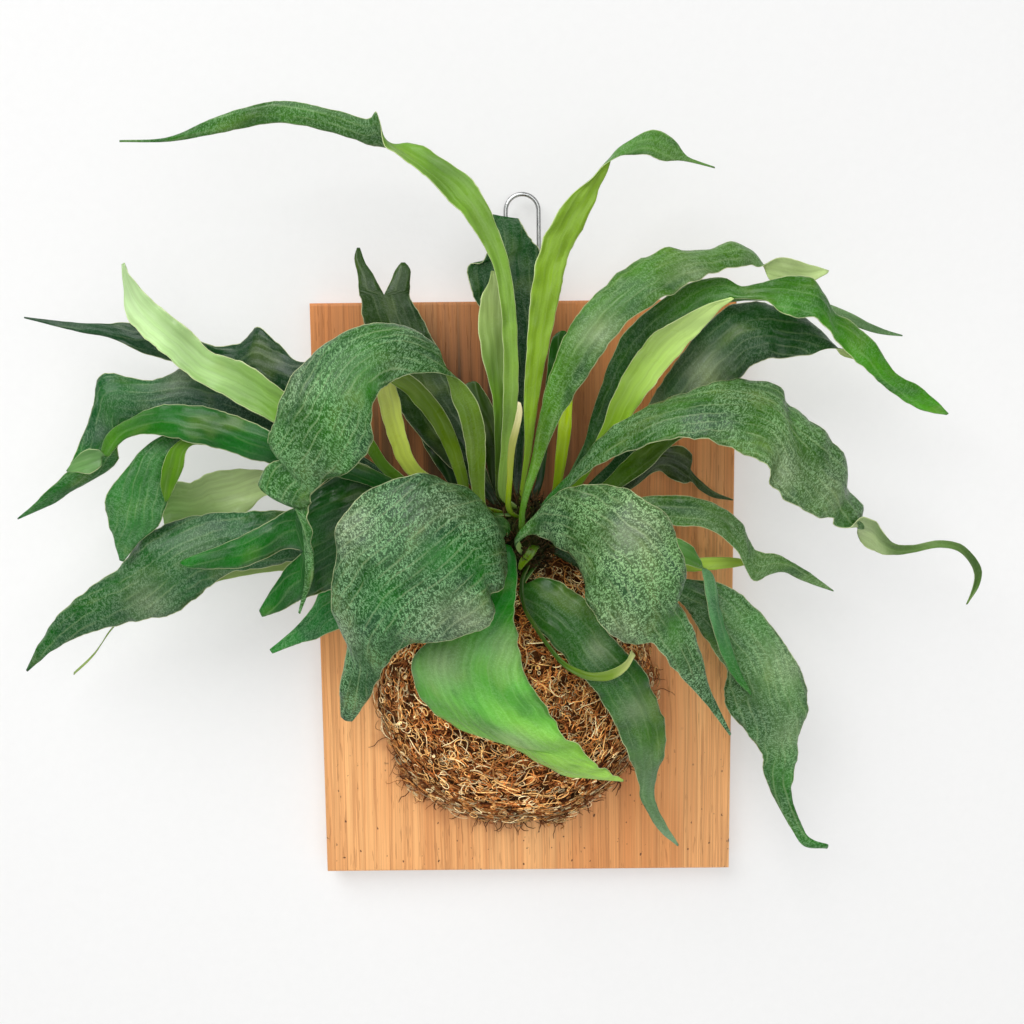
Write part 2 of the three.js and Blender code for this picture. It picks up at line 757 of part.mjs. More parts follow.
// The stalk's end: a point on each margin, set off so that its thickness clears the crown.
function seatMargins([bearing, pitch, width], firstLeft, firstRight) {
  const b = THREE.MathUtils.degToRad(bearing);
  const p = THREE.MathUtils.degToRad(pitch);
  const outward = new THREE.Vector3(Math.sin(b) * Math.cos(p), -Math.sin(p), Math.cos(b) * Math.cos(p));
  const normal = outward.clone().divide(crownRadii).normalize();
  const centre = outward.multiply(crownRadii).add(crownCentre);
  const across = firstRight.clone().sub(firstLeft).projectOnPlane(normal).normalize();
  const ahead = firstLeft.clone().lerp(firstRight, 0.5).sub(centre);
  const tilt = Math.abs(ahead.cross(across).normalize().dot(normal));
  centre.addScaledVector(normal, SEAT_GAP + (0.3 + 0.7 * tilt) * STALK_THICKNESS / 2);
  return [centre.clone().addScaledVector(across, -width / 2), centre.addScaledVector(across, width / 2)];
}

// A point of the blade between its margins: bulged along the middle and waved along the edges.
function bladePoint(left, right, at, across, frond) {
  const a = splineAt(left, at);
  const b = splineAt(right, at);
  const nudge = 0.05;
  const before = Math.max(at - nudge, 0);
  const after = Math.min(at + nudge, left.length - 1);
  const ahead = splineAt(left, after).add(splineAt(right, after));
  ahead.sub(splineAt(left, before)).sub(splineAt(right, before));
  const normal = ahead.cross(a.clone().sub(b)).normalize();
  const scale = Math.min(a.distanceTo(b) / CAMBER_WIDTH, 1.5);
  const bulge = frond.camber * 4 * across * (1 - across);
  const edge = (2 * across - 1) ** 2;
  const wave = (frond.wave ?? 0) * edge * Math.sin(2.4 * at + (across > 0.5 ? 1.7 : 0));
  return a.lerp(b, across).addScaledVector(normal, scale * (bulge + wave));
}

// Adds a strip of quads to the sheet, going on from a row of point numbers if one is given.
function addStrip(sheet, left, right, cells, firstRow, frond) {
  let row = firstRow;
  for (const at of stations(left, right)) {
    if (firstRow && at === 0) continue;
    const next = [];
    for (let j = 0; j <= cells; j++) {
      const stalk = firstRow ? 0 : Math.max(1 - at / STALK_ROWS, 0);
      sheet.thickness.push(BLADE_THICKNESS + (STALK_THICKNESS - BLADE_THICKNESS) * stalk);
      next.push(sheet.points.push(bladePoint(left, right, at, j / cells, frond)) - 1);
    }
    for (let j = 0; row && j < cells; j++) {
      sheet.triangles.push([row[j], row[j + 1], next[j + 1]], [row[j], next[j + 1], next[j]]);
    }
    row = next;
  }
  return row;
}

// Where a blade is cut across: at each of its drawn rows, and between two that are far apart.
function stations(left, right) {
  const found = [0];
  for (let i = 1; i < left.length; i++) {
    const length = Math.max(left[i].distanceTo(left[i - 1]), right[i].distanceTo(right[i - 1]));
    const steps = Math.max(Math.round(length / BLADE_STEP), 1);
    for (let k = 1; k <= steps; k++) found.push(i - 1 + k / steps);
  }
  return found;
}

function frondSheet(frond) {
  const sheet = { points: [], thickness: [], triangles: [] };
  const lefts = frond.rows.map(([x, z, rise]) => lifted(x, z, rise));
  const rights = frond.rows.map((row) => lifted(row[3], row[4], row[5]));
  const [seatLeft, seatRight] = seatMargins(frond.seat, lefts[0], rights[0]);
  const cells = frond.tines ? CELLS_ACROSS_FORKED : CELLS_ACROSS;
  const end = addStrip(sheet, [seatLeft, ...lefts], [seatRight, ...rights], cells, null, frond);
  (frond.tines ?? []).forEach((tine, k) => {
    const half = cells / 2;
    const row = end.slice(k * half, (k + 1) * half + 1);
    const left = [sheet.points[row[0]], ...tine.map(([x, z, rise]) => lifted(x, z, rise))];
    const right = [sheet.points[row[half]], ...tine.map((r) => lifted(r[3], r[4], r[5]))];
    addStrip(sheet, left, right, half, row, frond);
  });
  return sheet;
}

// Gives a sheet its thickness: the same triangles on both faces, and a wall round the edge.
function thickened({ points, thickness, triangles }) {
  const normals = points.map(() => new THREE.Vector3());
  const edges = new Map();
  for (const [a, b, c] of triangles) {
    const u = points[b].clone().sub(points[a]);
    const v = points[c].clone().sub(points[a]);
    const area = u.cross(v);
    for (const [from, to] of [[a, b], [b, c], [c, a]]) {
      normals[from].add(area);
      edges.set(`${from} ${to}`, [from, to]);
    }
  }
  const count = points.length;
  const positions = [1, -1].flatMap((side) => points.flatMap((p, i) => {
    const half = side * thickness[i] / 2;
    return p.clone().addScaledVector(normals[i].clone().normalize(), half).toArray();
  }));
  const faces = triangles.flatMap(([a, b, c]) => [a, b, c, a + count, c + count, b + count]);
  for (const [from, to] of edges.values()) {
    if (edges.has(`${to} ${from}`)) continue;
    faces.push(to, from, from + count, to, from + count, to + count);
  }
  return indexed(positions, faces);
}

function indexed(positions, faces) {
  const geometry = new THREE.BufferGeometry();
  geometry.setAttribute('position', new THREE.Float32BufferAttribute(positions, 3));
  geometry.setIndex(faces);
  return geometry;
}

function toSolid(geometry) {
  const bare = geometry.clone();
  bare.deleteAttribute('normal');
  bare.deleteAttribute('uv');
  const merged = mergeVertices(bare, 1e-4);
  return new wasm.Manifold(new wasm.Mesh({
    numProp: 3,
    vertProperties: new Float32Array(merged.attributes.position.array),
    triVerts: new Uint32Array(merged.index.array),
  }));
}

function toGeometry(solid) {
  const { vertProperties, triVerts } = solid.getMesh();
  return indexed(Array.from(vertProperties), Array.from(triVerts));
}

// The board: a plank with eased edges, and two holes in its top edge for the loop's legs.
function board() {
  const { width, height, thickness, arris } = BOARD;
  const outline = new THREE.Shape();
  const x = width / 2 - arris;
  const y = height / 2 - arris;
  outline.moveTo(-x, -y).lineTo(x, -y).lineTo(x, y).lineTo(-x, y).closePath();
  const plank = new THREE.ExtrudeGeometry(outline, {
    depth: thickness - 2 * arris,
    bevelThickness: arris,
    bevelSize: arris,
    bevelSegments: 3,
  });
  plank.translate(0, 0, arris);
  plank.rotateX(Math.PI / 2);
  const holes = [-1, 1].map((side) => {
    const radius = WIRE.diameter / 2 + WIRE.holeClearance;
    const depth = WIRE.legInBoard + 1;
    const hole = new THREE.CylinderGeometry(radius, radius, 2 * depth, 12);
    hole.rotateX(Math.PI / 2);
    hole.translate(side * WIRE.loopWidth / 2, -WIRE.setBack, height / 2);
    return toSolid(hole);
  });
  return toGeometry(holes.reduce((solid, hole) => solid.subtract(hole), toSolid(plank)));
}

// The wire's centre line: up one leg, round the top, and down the other.
class LoopPath extends THREE.Curve {
  getPoint(t) {
    const radius = WIRE.loopWidth / 2;
    const top = BOARD.height / 2 + WIRE.rise - WIRE.diameter / 2 - radius;
    const leg = top - BOARD.height / 2 + WIRE.legInBoard;
    const along = t * (2 * leg + Math.PI * radius);
    if (along < leg) return new THREE.Vector3(-radius, -WIRE.setBack, top - leg + along);
    const beyond = along - leg - Math.PI * radius;
    if (beyond > 0) return new THREE.Vector3(radius, -WIRE.setBack, top - beyond);
    const angle = (along - leg) / radius;
    return new THREE.Vector3(-radius * Math.cos(angle), -WIRE.setBack, top + radius * Math.sin(angle));
  }
}

function hangerLoop() {
  const section = new THREE.Shape().absarc(0, 0, WIRE.diameter / 2, 0, 2 * Math.PI);
  return new THREE.ExtrudeGeometry(section, { steps: 36, curveSegments: 4, extrudePath: new LoopPath() });
}

// The root ball: a lumpy mound with a flat back, grown by the given margin.
function rootBall(margin) {
  const rings = 9;
  const spokes = 32;
  const skirt = 5;
  const back = -BOARD.thickness - SEAT_GAP;
  const positions = [ROOT_BALL.x, back, ROOT_BALL.z, ROOT_BALL.x, back - ROOT_BALL.rise - margin, ROOT_BALL.z];
  for (let ring = 1; ring <= rings + 1; ring++) {
    const reach = Math.min(ring / rings, 1);
    for (let spoke = 0; spoke < spokes; spoke++) {
      const angle = spoke / spokes * 2 * Math.PI;
      const edge = 1 + 0.03 * Math.sin(3 * angle + 1) + 0.02 * Math.sin(7 * angle) + 0.015 * Math.sin(13 * angle);
      const x = (ROOT_BALL.halfWidth * edge + margin) * reach * Math.sin(angle);
      const z = (ROOT_BALL.halfHeight * edge + margin) * reach * Math.cos(angle);
      const lumps = Math.sin(x / 9 + 1) * Math.cos(z / 11) + Math.sin((x + z) / 6) * 0.7;
      const dome = (ROOT_BALL.rise - skirt) * Math.sqrt(1 - reach ** 3);
      const rise = ring > rings ? 0 : skirt + dome + 1.6 * lumps * (1 - reach ** 4) + margin;
      positions.push(ROOT_BALL.x + x, back - rise, ROOT_BALL.z + z);
    }
  }
  const point = (ring, spoke) => 2 + (ring - 1) * spokes + spoke % spokes;
  const faces = [];
  for (let spoke = 0; spoke < spokes; spoke++) {
    faces.push(1, point(1, spoke + 1), point(1, spoke));
    faces.push(0, point(rings + 1, spoke), point(rings + 1, spoke + 1));
    for (let ring = 1; ring <= rings; ring++) {
      faces.push(point(ring, spoke), point(ring + 1, spoke + 1), point(ring + 1, spoke));
      faces.push(point(ring, spoke), point(ring, spoke + 1), point(ring + 1, spoke + 1));
    }
  }
  return indexed(positions, faces);
}

// The crown: the knob that the fronds grow from, seated in the top of the root ball.
function crown() {
  const knob = new THREE.SphereGeometry(1, 24, 16);
  knob.scale(...crownRadii);
  knob.translate(...crownCentre);
  return toGeometry(toSolid(knob).subtract(toSolid(rootBall(SEAT_GAP))));
}

function part(name, geometry, colour, roughness, metalness = 0) {
  const material = new THREE.MeshStandardMaterial({ color: COLOURS[colour], roughness, metalness });
  const mesh = new THREE.Mesh(geometry, material);
  mesh.name = name;
  return mesh;
}

const fern = new THREE.Group();
fern.name = 'mounted_staghorn_fern';
fern.add(part('board', board(), 'wood', 0.6));
fern.add(part('hanger_loop', hangerLoop(), 'steel', 0.35, 1));
fern.add(part('root_ball', rootBall(0), 'moss', 0.95));
fern.add(part('crown', crown(), 'crown', 0.9));
for (const frond of FRONDS) {
  fern.add(part(frond.name, thickened(frondSheet(frond)), frond.colour, 0.6));
}

export default fern;
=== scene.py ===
"""The looks of a staghorn fern mounted on a cedar board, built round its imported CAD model.

Each frond is a finer copy of its CAD solid, drawn from the same rows, with waved margins, veins
and pale scurf. Curling threads cover the root ball, hairs cover the crown, and a smooth bent wire
stands in for the faceted one. Sizes are in millimetres, as in the CAD source, and MM turns them
into Blender's metres. Materials are scaled in metres.
"""

import math
from typing import NamedTuple

import bpy
import numpy as np
from mathutils import Matrix


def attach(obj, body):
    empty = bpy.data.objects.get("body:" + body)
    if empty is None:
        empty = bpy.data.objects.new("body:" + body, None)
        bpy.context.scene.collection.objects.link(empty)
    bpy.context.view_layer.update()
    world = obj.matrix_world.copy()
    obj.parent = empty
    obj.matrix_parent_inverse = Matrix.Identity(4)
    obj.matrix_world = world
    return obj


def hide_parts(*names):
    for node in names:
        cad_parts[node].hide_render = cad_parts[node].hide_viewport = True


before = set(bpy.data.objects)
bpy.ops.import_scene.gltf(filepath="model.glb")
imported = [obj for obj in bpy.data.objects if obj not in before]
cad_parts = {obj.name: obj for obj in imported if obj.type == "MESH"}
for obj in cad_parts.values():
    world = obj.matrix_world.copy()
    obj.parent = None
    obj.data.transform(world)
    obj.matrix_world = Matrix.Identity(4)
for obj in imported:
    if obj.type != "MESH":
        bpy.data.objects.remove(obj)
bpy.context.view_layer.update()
MM = 0.001

BOARD_HEIGHT = 400
BOARD_THICKNESS = 19
WIRE_DIAMETER = 3
WIRE_WIDTH = 22
WIRE_RISE = 72
WIRE_LEG = 24
WIRE_SET_BACK = 11
ROOT_BALL = (-9, -58)
ROOT_BALL_RADII = (92, 98)
ROOT_BALL_RISE = 46
# Threads on the ball stand out from this depth behind the board's face, and bend to this radius.
ROOT_BALL_HEART = -BOARD_THICKNESS + 25
ROOT_BALL_CURVE = 75
CROWN_RISE = 36
CROWN_PLACE = (-3, 42)
CROWN_RADII = np.array((21.0, 24.0, 23.0))
SEAT_GAP = 0.3

BLADE_THICKNESS = 1.0
STALK_THICKNESS = 2.2
STALK_ROWS = 3
CAMBER_WIDTH = 40
ROW_SPACING = 3.2
CELLS_ACROSS = 16

# Waves in a blade: height and length of the large and small scallops in a margin's outline, of
# the ruffles that lift a margin, and of the creases along the blade.
LARGE_SCALLOP = (0.6, 19)
SMALL_SCALLOP = (0.28, 6.5)
RUFFLE = (1.9, 21)
CREASE = (1.1, 45)

# The pale colour of the painted highlights, patches of sheen on the blades.
HIGHLIGHT_COLOUR = (210, 220, 180)
FIBRE_COLOURS = ((86, 42, 14), (160, 94, 44), (222, 154, 84), (250, 200, 128), (255, 232, 180))
# The crown's hairs are dark, partly painted shade among the stalk bases.
CROWN_HAIR_SHADE_COLOURS = ((34, 44, 14), (52, 60, 22), (70, 60, 30), (96, 72, 40))

# Painted shade on the board behind the crown, where the stalks shade it, as an ellipse.
CROWN_SHADE_MIDDLE = (-40, 96)
CROWN_SHADE_RADII = (100, 104)

# The camera's place in metres, its turns in degrees and its focal length on a 36 mm sensor.
CAMERA_PLACE = (-0.0058, -0.9214, 0.1896)
CAMERA_YAW = -0.19
CAMERA_PITCH = 8.32
CAMERA_ROLL = -0.6
FOCAL_LENGTH = 46.9

# The wall and the floor, and the lights round them, in metres and watts.
STAGE_REACH = 4
WALL_TOP = 3
WALL_GAP = 0.001
FLOOR_LEVEL = -1.2
LIGHT_AIM = (0, 0, 0.05)
WORLD_STRENGTH = 0.24
WALL_GLOW = 0.34

# Fronds are drawn on the board's face, and each point is lifted off it by its rise along the
# line to this point.
SIGHT = np.array((-6.0, -921.0, 190.0))


class Frond(NamedTuple):
    """A frond's seat on the crown, the rows that draw its blade, and its looks."""

    name: str
    slot: str
    seat: tuple  # bearing from the top and pitch out of the board in degrees, and stalk width
    # The colours are partly painted shade: darker at the stalk near the crown, and darker on fronds that
    # lie in shade.
    upper: tuple  # colours of the upper side from stalk to tip, 0 to 255
    under: tuple  # colours of the underside, in the same way
    rows: tuple  # left margin's x, z and rise, then the right margin's, seen on the upper side
    tines: tuple = ()  # rows of each branch at the blade's end
    camber: float = 0  # how far the blade bulges
    wave: float = 0  # how far its margins wave
    scurf: float = 0  # how thick the pale scurf lies on the upper side, up to 1
    # Painted shade across the blade: how much lighter the left half is than the right.
    painted_side_shade: float = 0  # how much lighter its left half is
    # Painted highlights, pale patches of sheen, or, if the last value is negative, darker patches
    # rubbed bare of scurf and partly painted shade: how far along the blade, where across it from -1
    # at the left margin to 1 at the right, radius, and strength.
    highlight_and_shade_patches: tuple = ()


FRONDS = (
    Frond(
        "frond_tall_left", "leaf_pale", seat=(-8, 36, 6), camber=5, scurf=0.5,
        upper=((60, 96, 50), (84, 116, 76), (80, 124, 62)),
        under=((134, 166, 84), (126, 162, 74), (92, 132, 52), (80, 110, 56)),
        rows=(
            (-12, 70, 54, -18, 71, 54), (-9, 100, 60, -16, 100, 61), (-4, 134, 66, -14, 134, 68),
            (-4, 180, 74, -14, 181, 77), (-8, 220, 80, -19, 221, 82), (-19, 255, 84, -35, 251, 87),
            (-34, 281, 84, -54, 272, 89), (-49, 291, 83, -67, 285, 90), (-60, 298, 81, -75, 291, 90),
            (-69, 303, 80, -84, 297, 90), (-75, 304, 79, -90, 302, 89), (-80, 302, 78, -92, 309, 88),
            (-86, 300, 77, -93, 317, 87), (-95, 301, 77, -95, 324, 86), (-102, 303, 77, -101, 319, 84),
            (-119, 309, 78, -119, 324, 82), (-158, 317, 76, -158, 331, 78),
            (-198, 311, 72, -198, 322, 74), (-231, 306, 68, -231, 309, 69),
            (-264, 306, 64, -264, 307, 64),
        ),
    ),
    Frond(
        "frond_tall_right", "leaf_pale", seat=(14, 30, 6), camber=2, scurf=0.4,
        upper=((70, 110, 50), (88, 134, 74), (117, 150, 98)),
        under=((128, 160, 58), (130, 164, 66)),
        rows=(
            (-1, 66, 50, -4, 66, 50), (5, 100, 56, 0, 100, 57), (10, 134, 62, 0, 134, 64),
            (16, 165, 66, 2, 165, 69), (24, 200, 70, 5, 201, 74), (30, 227, 72, 10, 229, 77),
            (44, 255, 74, 24, 259, 79), (57, 286, 73, 47, 281, 79), (60, 294, 70, 58, 290, 78),
            (70, 303, 72, 68, 294, 76), (86, 310, 70, 82, 294, 73), (99, 305, 66, 93, 290, 68),
            (109, 293, 62, 106, 290, 63), (127, 286, 58, 127, 285, 58),
        ),
    ),
    Frond(
        "frond_dark_upright", "leaf_deep", seat=(3, 0, 6), camber=-3, scurf=0.3, painted_side_shade=0.1,
        upper=((8, 36, 8), (26, 62, 34), (44, 82, 46)),
        under=((60, 90, 40),),
        rows=(
            (-8, 80, 30, -2, 80, 30), (-10, 112, 32, 1, 112, 32), (-14, 150, 34, 5, 150, 34),
            (-22, 185, 36, 9, 185, 36), (-32, 201, 37, 11, 203, 37), (-37, 223, 38, 12, 231, 38),
            (-26, 226, 38, 7, 239, 38), (-22, 241, 38, 2, 246, 38), (-20, 257, 37, -2, 254, 37),
        ),
    ),
    Frond(
        "frond_folded_upright", "leaf_pale", seat=(-14, 18, 5), camber=4, scurf=0.1, painted_side_shade=-0.3,
        upper=((40, 70, 30), (110, 140, 80)),
        under=((34, 50, 12), (96, 132, 50), (172, 192, 126)),
        rows=(
            (-15, 66, 42, -19, 66, 42), (-15, 100, 46, -20, 100, 47), (-12, 134, 48, -21, 134, 51),
            (-11, 160, 49, -27, 160, 54), (-12, 182, 50, -30, 182, 55), (-13, 202, 50, -28, 202, 54),
            (-16, 212, 50, -23, 212, 52), (-19, 220, 49, -21, 220, 49),
        ),
    ),
    Frond(
        "frond_young", "leaf_cream", seat=(-3, 54, 4), camber=-1,
        upper=((84, 112, 44), (132, 152, 72), (186, 188, 128), (236, 228, 196)),
        under=((92, 124, 36), (200, 200, 150)),
        rows=(
            (-13, 60, 63, -9, 60, 63), (-12, 82, 69, -8, 82, 69), (-11, 102, 74, -6, 102, 74),
            (-8, 114, 78, -3, 114, 78), (-5, 126, 81, -1, 126, 81), (-4, 133, 82, -2, 132, 82),
        ),
    ),
    Frond(
        "frond_back_leaf_right", "leaf_mid", seat=(20, -4, 5), camber=2,
        upper=((6, 26, 6), (34, 76, 8), (52, 90, 22)),
        under=((30, 60, 10), (60, 100, 24)),
        rows=(
            (8, 80, 28, 13, 80, 28), (11, 115, 30, 18, 115, 30), (15, 145, 31, 27, 145, 31),
            (17, 165, 32, 32, 165, 32), (20, 176, 32, 30, 177, 32), (25, 180, 32, 28, 180, 32),
        ),
    ),
    Frond(
        "frond_back_strap_right", "leaf_pale", seat=(36, -4, 5), camber=1, painted_side_shade=0.2,
        upper=((90, 122, 20), (156, 184, 56)),
        under=((104, 134, 24), (164, 190, 60), (184, 206, 92)),
        rows=(
            (23, 70, 32, 18, 70, 32), (29, 95, 36, 21, 95, 36), (32, 115, 38, 23, 115, 38),
            (33, 135, 38, 26, 135, 38), (36, 160, 37, 31, 162, 37), (40, 178, 35, 39, 179, 35),
        ),
    ),
    Frond(
        "frond_right_arch", "leaf_mid", seat=(8, 74, 5), camber=4, wave=1, scurf=0.45, painted_side_shade=0.15,
        upper=((112, 144, 78), (88, 128, 62), (112, 136, 100)),
        under=((150, 180, 100), (182, 202, 142)),
        highlight_and_shade_patches=((0.45, 0.25, 14, 0.4), (0.67, 0.75, 12, 0.24)),
        rows=(
            (-3, 62, 67, 1, 61, 68), (5, 95, 66, 12, 92, 70), (11, 125, 72, 24, 120, 78),
            (19, 155, 78, 41, 147, 86), (30, 181, 82, 56, 168, 92), (46, 201, 84, 73, 188, 94),
            (68, 221, 82, 98, 203, 92), (91, 232, 78, 118, 213, 88), (118, 232, 74, 132, 219, 84),
            (138, 237, 70, 146, 221, 80), (151, 233, 66, 152, 222, 74), (160, 222, 66, 158, 221, 73),
            (166, 211, 68, 172, 227, 70), (186, 208, 66, 188, 223, 66), (203, 216, 62, 204, 218, 62),
        ),
    ),
    Frond(
        "frond_right_folded_dark", "leaf_deep", seat=(44, 20, 6), camber=2, wave=1, scurf=0.3, painted_side_shade=-0.25,
        upper=((20, 58, 10), (76, 114, 54), (104, 156, 80)),
        under=((110, 150, 70), (166, 194, 118)),
        rows=(
            (21, 66, 44, 25, 63, 45), (38, 97, 50, 46, 92, 52), (46, 124, 54, 57, 118, 57),
            (53, 145, 58, 66, 137, 62), (65, 174, 62, 80, 158, 67), (85, 194, 66, 96, 175, 72),
            (112, 211, 68, 118, 190, 75), (133, 214, 70, 134, 199, 78), (146, 208, 76, 146, 200, 82),
            (160, 211, 80, 162, 198, 86), (185, 215, 80, 178, 188, 88), (199, 207, 78, 197, 186, 86),
            (208, 191, 75, 208, 173, 81), (221, 183, 71, 217, 164, 76), (236, 170, 68, 228, 154, 72),
            (250, 150, 62, 240, 143, 64), (266, 141, 56, 256, 131, 57), (278, 131, 52, 270, 124, 52),
            (287, 122, 48, 285, 121, 48),
        ),
    ),
    Frond(
        "frond_right_folded_pale", "leaf_pale", seat=(48, 32, 5), camber=2, scurf=0.05, painted_side_shade=0.25,
        upper=((70, 100, 40), (120, 150, 66)),
        under=((70, 104, 30), (136, 172, 66), (190, 212, 144)),
        rows=(
            (33, 68, 53, 28, 70, 53), (50, 92, 60, 43, 95, 60), (66, 112, 66, 53, 116, 65),
            (78, 130, 70, 60, 136, 69), (91, 147, 73, 73, 160, 72), (106, 165, 76, 88, 178, 76),
            (120, 180, 79, 108, 189, 80), (133, 194, 83, 124, 197, 83), (141, 200, 87, 139, 201, 87),
        ),
    ),
    Frond(
        "frond_right_broad_dark", "leaf_deep", seat=(56, 6, 7), camber=5, wave=1, scurf=0.3, painted_side_shade=0.25,
        upper=((46, 80, 30), (24, 66, 20), (24, 76, 30)),
        under=((100, 130, 60), (182, 202, 134)),
        highlight_and_shade_patches=((0.53, 0.12, 17, 0.32), (0.38, -0.8, 13, 0.32)),
        rows=(
            (22, 56, 34, 26, 52, 34), (45, 78, 40, 52, 72, 41), (66, 100, 46, 78, 92, 48),
            (85, 132, 52, 104, 106, 54), (102, 158, 56, 124, 128, 60), (124, 185, 58, 146, 148, 64),
            (146, 198, 58, 158, 158, 66), (168, 195, 56, 172, 160, 64), (190, 186, 52, 190, 162, 60),
            (207, 171, 48, 204, 166, 56), (213, 162, 46, 214, 166, 50), (222, 159, 46, 222, 164, 47),
            (233, 155, 44, 232, 156, 44),
        ),
    ),
    Frond(
        "frond_right_front_arch", "leaf_mid", seat=(56, 44, 7), camber=5, wave=2, scurf=0.75,
        upper=((66, 106, 56), (100, 136, 86), (84, 126, 84)),
        under=(
            (112, 142, 74), (112, 142, 74), (140, 168, 100), (190, 206, 156), (96, 124, 70),
            (70, 100, 44),
        ),
        highlight_and_shade_patches=((0.49, 0.6, 17, 0.32), (0.58, 0.2, 14, 0.32), (0.3, -0.3, 14, -0.4)),
        rows=(
            (14, 66, 64, 17, 60, 66), (32, 85, 70, 34, 77, 74), (50, 106, 76, 52, 90, 84),
            (78, 126, 84, 77, 101, 96), (104, 137, 88, 102, 106, 106), (130, 143, 88, 128, 105, 114),
            (147, 148, 86, 147, 97, 118), (170, 142, 86, 163, 86, 120), (178, 130, 90, 172, 74, 120),
            (195, 119, 92, 177, 63, 118), (209, 103, 92, 190, 57, 112), (219, 91, 90, 202, 52, 106),
            (221, 72, 86, 208, 51, 101), (230, 60, 83, 212, 48, 99), (231, 52, 81, 215, 45, 98),
            (231, 45, 79, 220, 44, 97), (229, 38, 78, 226, 47, 95), (231, 33, 77, 232, 51, 92),
            (237, 29, 76, 239, 50, 87), (245, 26, 75, 246, 40, 80), (255, 25, 73, 254, 33, 74),
            (268, 27, 70, 266, 32, 68), (285, 30, 64, 284, 35, 64), (299, 26, 60, 301, 31, 60),
            (308, 14, 56, 313, 16, 56), (308, 2, 54, 313, 4, 54), (304, -10, 54, 305, -10, 54),
        ),
    ),
    Frond(
        "frond_right_small_wavy", "leaf_deep", seat=(74, -14, 4), camber=1, wave=1, scurf=0.15,
        upper=((70, 62, 18), (40, 56, 26), (54, 68, 26)),
        under=((40, 56, 20),),
        rows=(
            (40, 60, 22, 43, 56, 22), (68, 80, 24, 72, 72, 25), (86, 98, 24, 90, 85, 25),
            (104, 102, 24, 98, 80, 26), (114, 96, 24, 108, 76, 27), (112, 87, 24, 114, 77, 26),
            (121, 77, 23, 120, 71, 24), (130, 70, 22, 129, 66, 22), (142, 65, 20, 142, 64, 20),
        ),
    ),
    Frond(
        "frond_right_middle", "leaf_mid", seat=(80, 20, 6), camber=3, wave=1, scurf=0.55,
        upper=((68, 102, 48), (102, 132, 88), (126, 154, 110)),
        under=((90, 120, 50), (138, 166, 100)),
        rows=(
            (30, 52, 44, 32, 46, 45), (58, 62, 50, 60, 50, 52), (82, 67, 54, 84, 50, 58),
            (106, 68, 58, 104, 47, 63), (130, 62, 60, 124, 45, 66), (144, 52, 60, 138, 36, 66),
            (152, 43, 58, 146, 28, 64), (155, 33, 56, 150, 20, 60), (162, 28, 54, 157, 8, 56),
            (174, 26, 52, 168, 12, 53), (185, 20, 49, 178, 14, 50), (196, 13, 46, 190, 8, 46),
            (212, 1, 40, 212, 0, 40),
        ),
    ),
    Frond(
        "frond_crown_folded", "leaf_pale", seat=(112, 58, 4), camber=-2, painted_side_shade=0.3,
        upper=((60, 84, 30), (110, 134, 66)),
        under=((60, 84, 30), (110, 134, 66)),
        rows=(
            (9, 32, 64, 3, 34, 64), (6, 27, 66, 0, 29, 66), (1, 22, 65, -4, 24, 65),
            (-3, 17, 62, -5, 18, 62),
        ),
    ),
    Frond(
        "frond_right_narrow", "leaf_pale", seat=(96, 2, 5), camber=1,
        upper=((122, 156, 54), (180, 210, 92)),
        under=((110, 140, 50), (160, 188, 86)),
        rows=(
            (40, 26, 34, 40, 31, 34), (80, 18, 36, 80, 25, 36), (110, 15, 36, 110, 24, 36),
            (130, 16, 34, 130, 25, 34), (146, 18, 32, 146, 24, 32), (155, 20, 30, 155, 21, 30),
        ),
    ),
    Frond(
        "frond_right_twisted", "leaf_mid", seat=(104, 26, 5), camber=2, scurf=0.3, painted_side_shade=-0.1,
        upper=((66, 108, 44), (124, 162, 126), (76, 128, 72)),
        under=((60, 106, 42), (90, 132, 70)),
        rows=(
            (50, 34, 56, 50, 40, 56), (80, 32, 61, 84, 43, 60), (102, 22, 64, 110, 36, 60),
            (117, 18, 63, 120, 24, 57), (129, 13, 58, 122, 12, 62), (134, -10, 56, 126, -12, 62),
            (142, -36, 56, 134, -40, 60), (150, -58, 56, 144, -60, 58), (157, -72, 56, 156, -73, 56),
        ),
    ),
    Frond(
        "frond_right_low", "leaf_mid", seat=(112, 0, 6), camber=5, wave=2, scurf=0.7, painted_side_shade=0.25,
        upper=((24, 58, 20), (112, 150, 104), (80, 130, 74)),
        under=((110, 140, 80),),
        highlight_and_shade_patches=((0.55, -0.75, 20, 0.4), (0.68, -0.5, 16, 0.28), (0.4, 0.4, 14, -0.5)),
        rows=(
            (45, 21, 27, 43, 15, 27), (82, 16, 36, 76, 4, 36), (112, 10, 40, 106, -6, 40),
            (136, 6, 43, 116, -20, 44), (160, -12, 45, 128, -38, 46), (180, -38, 46, 140, -58, 48),
            (194, -62, 46, 138, -78, 48), (196, -84, 45, 152, -98, 48), (191, -100, 44, 160, -108, 46),
            (190, -118, 42, 166, -120, 44), (187, -132, 41, 166, -130, 42),
            (187, -150, 40, 176, -152, 40), (194, -168, 38, 186, -170, 38),
            (200, -178, 36, 196, -184, 36), (213, -183, 32, 212, -186, 32),
        ),
    ),
    Frond(
        "frond_front_right", "leaf_mid", seat=(172, 70, 5), camber=6, wave=2, scurf=1, painted_side_shade=0.08,
        upper=((82, 120, 70), (124, 160, 110), (92, 134, 96)),
        under=((150, 180, 110),),
        highlight_and_shade_patches=((0.45, -0.5, 17, 0.48), (0.55, 0.85, 13, 0.36), (0.66, 0, 12, -0.5)),
        rows=(
            (-4, 42, 73, -6, 35, 73), (5, 54, 78, 5, 42, 79), (22, 70, 88, 18, 36, 90),
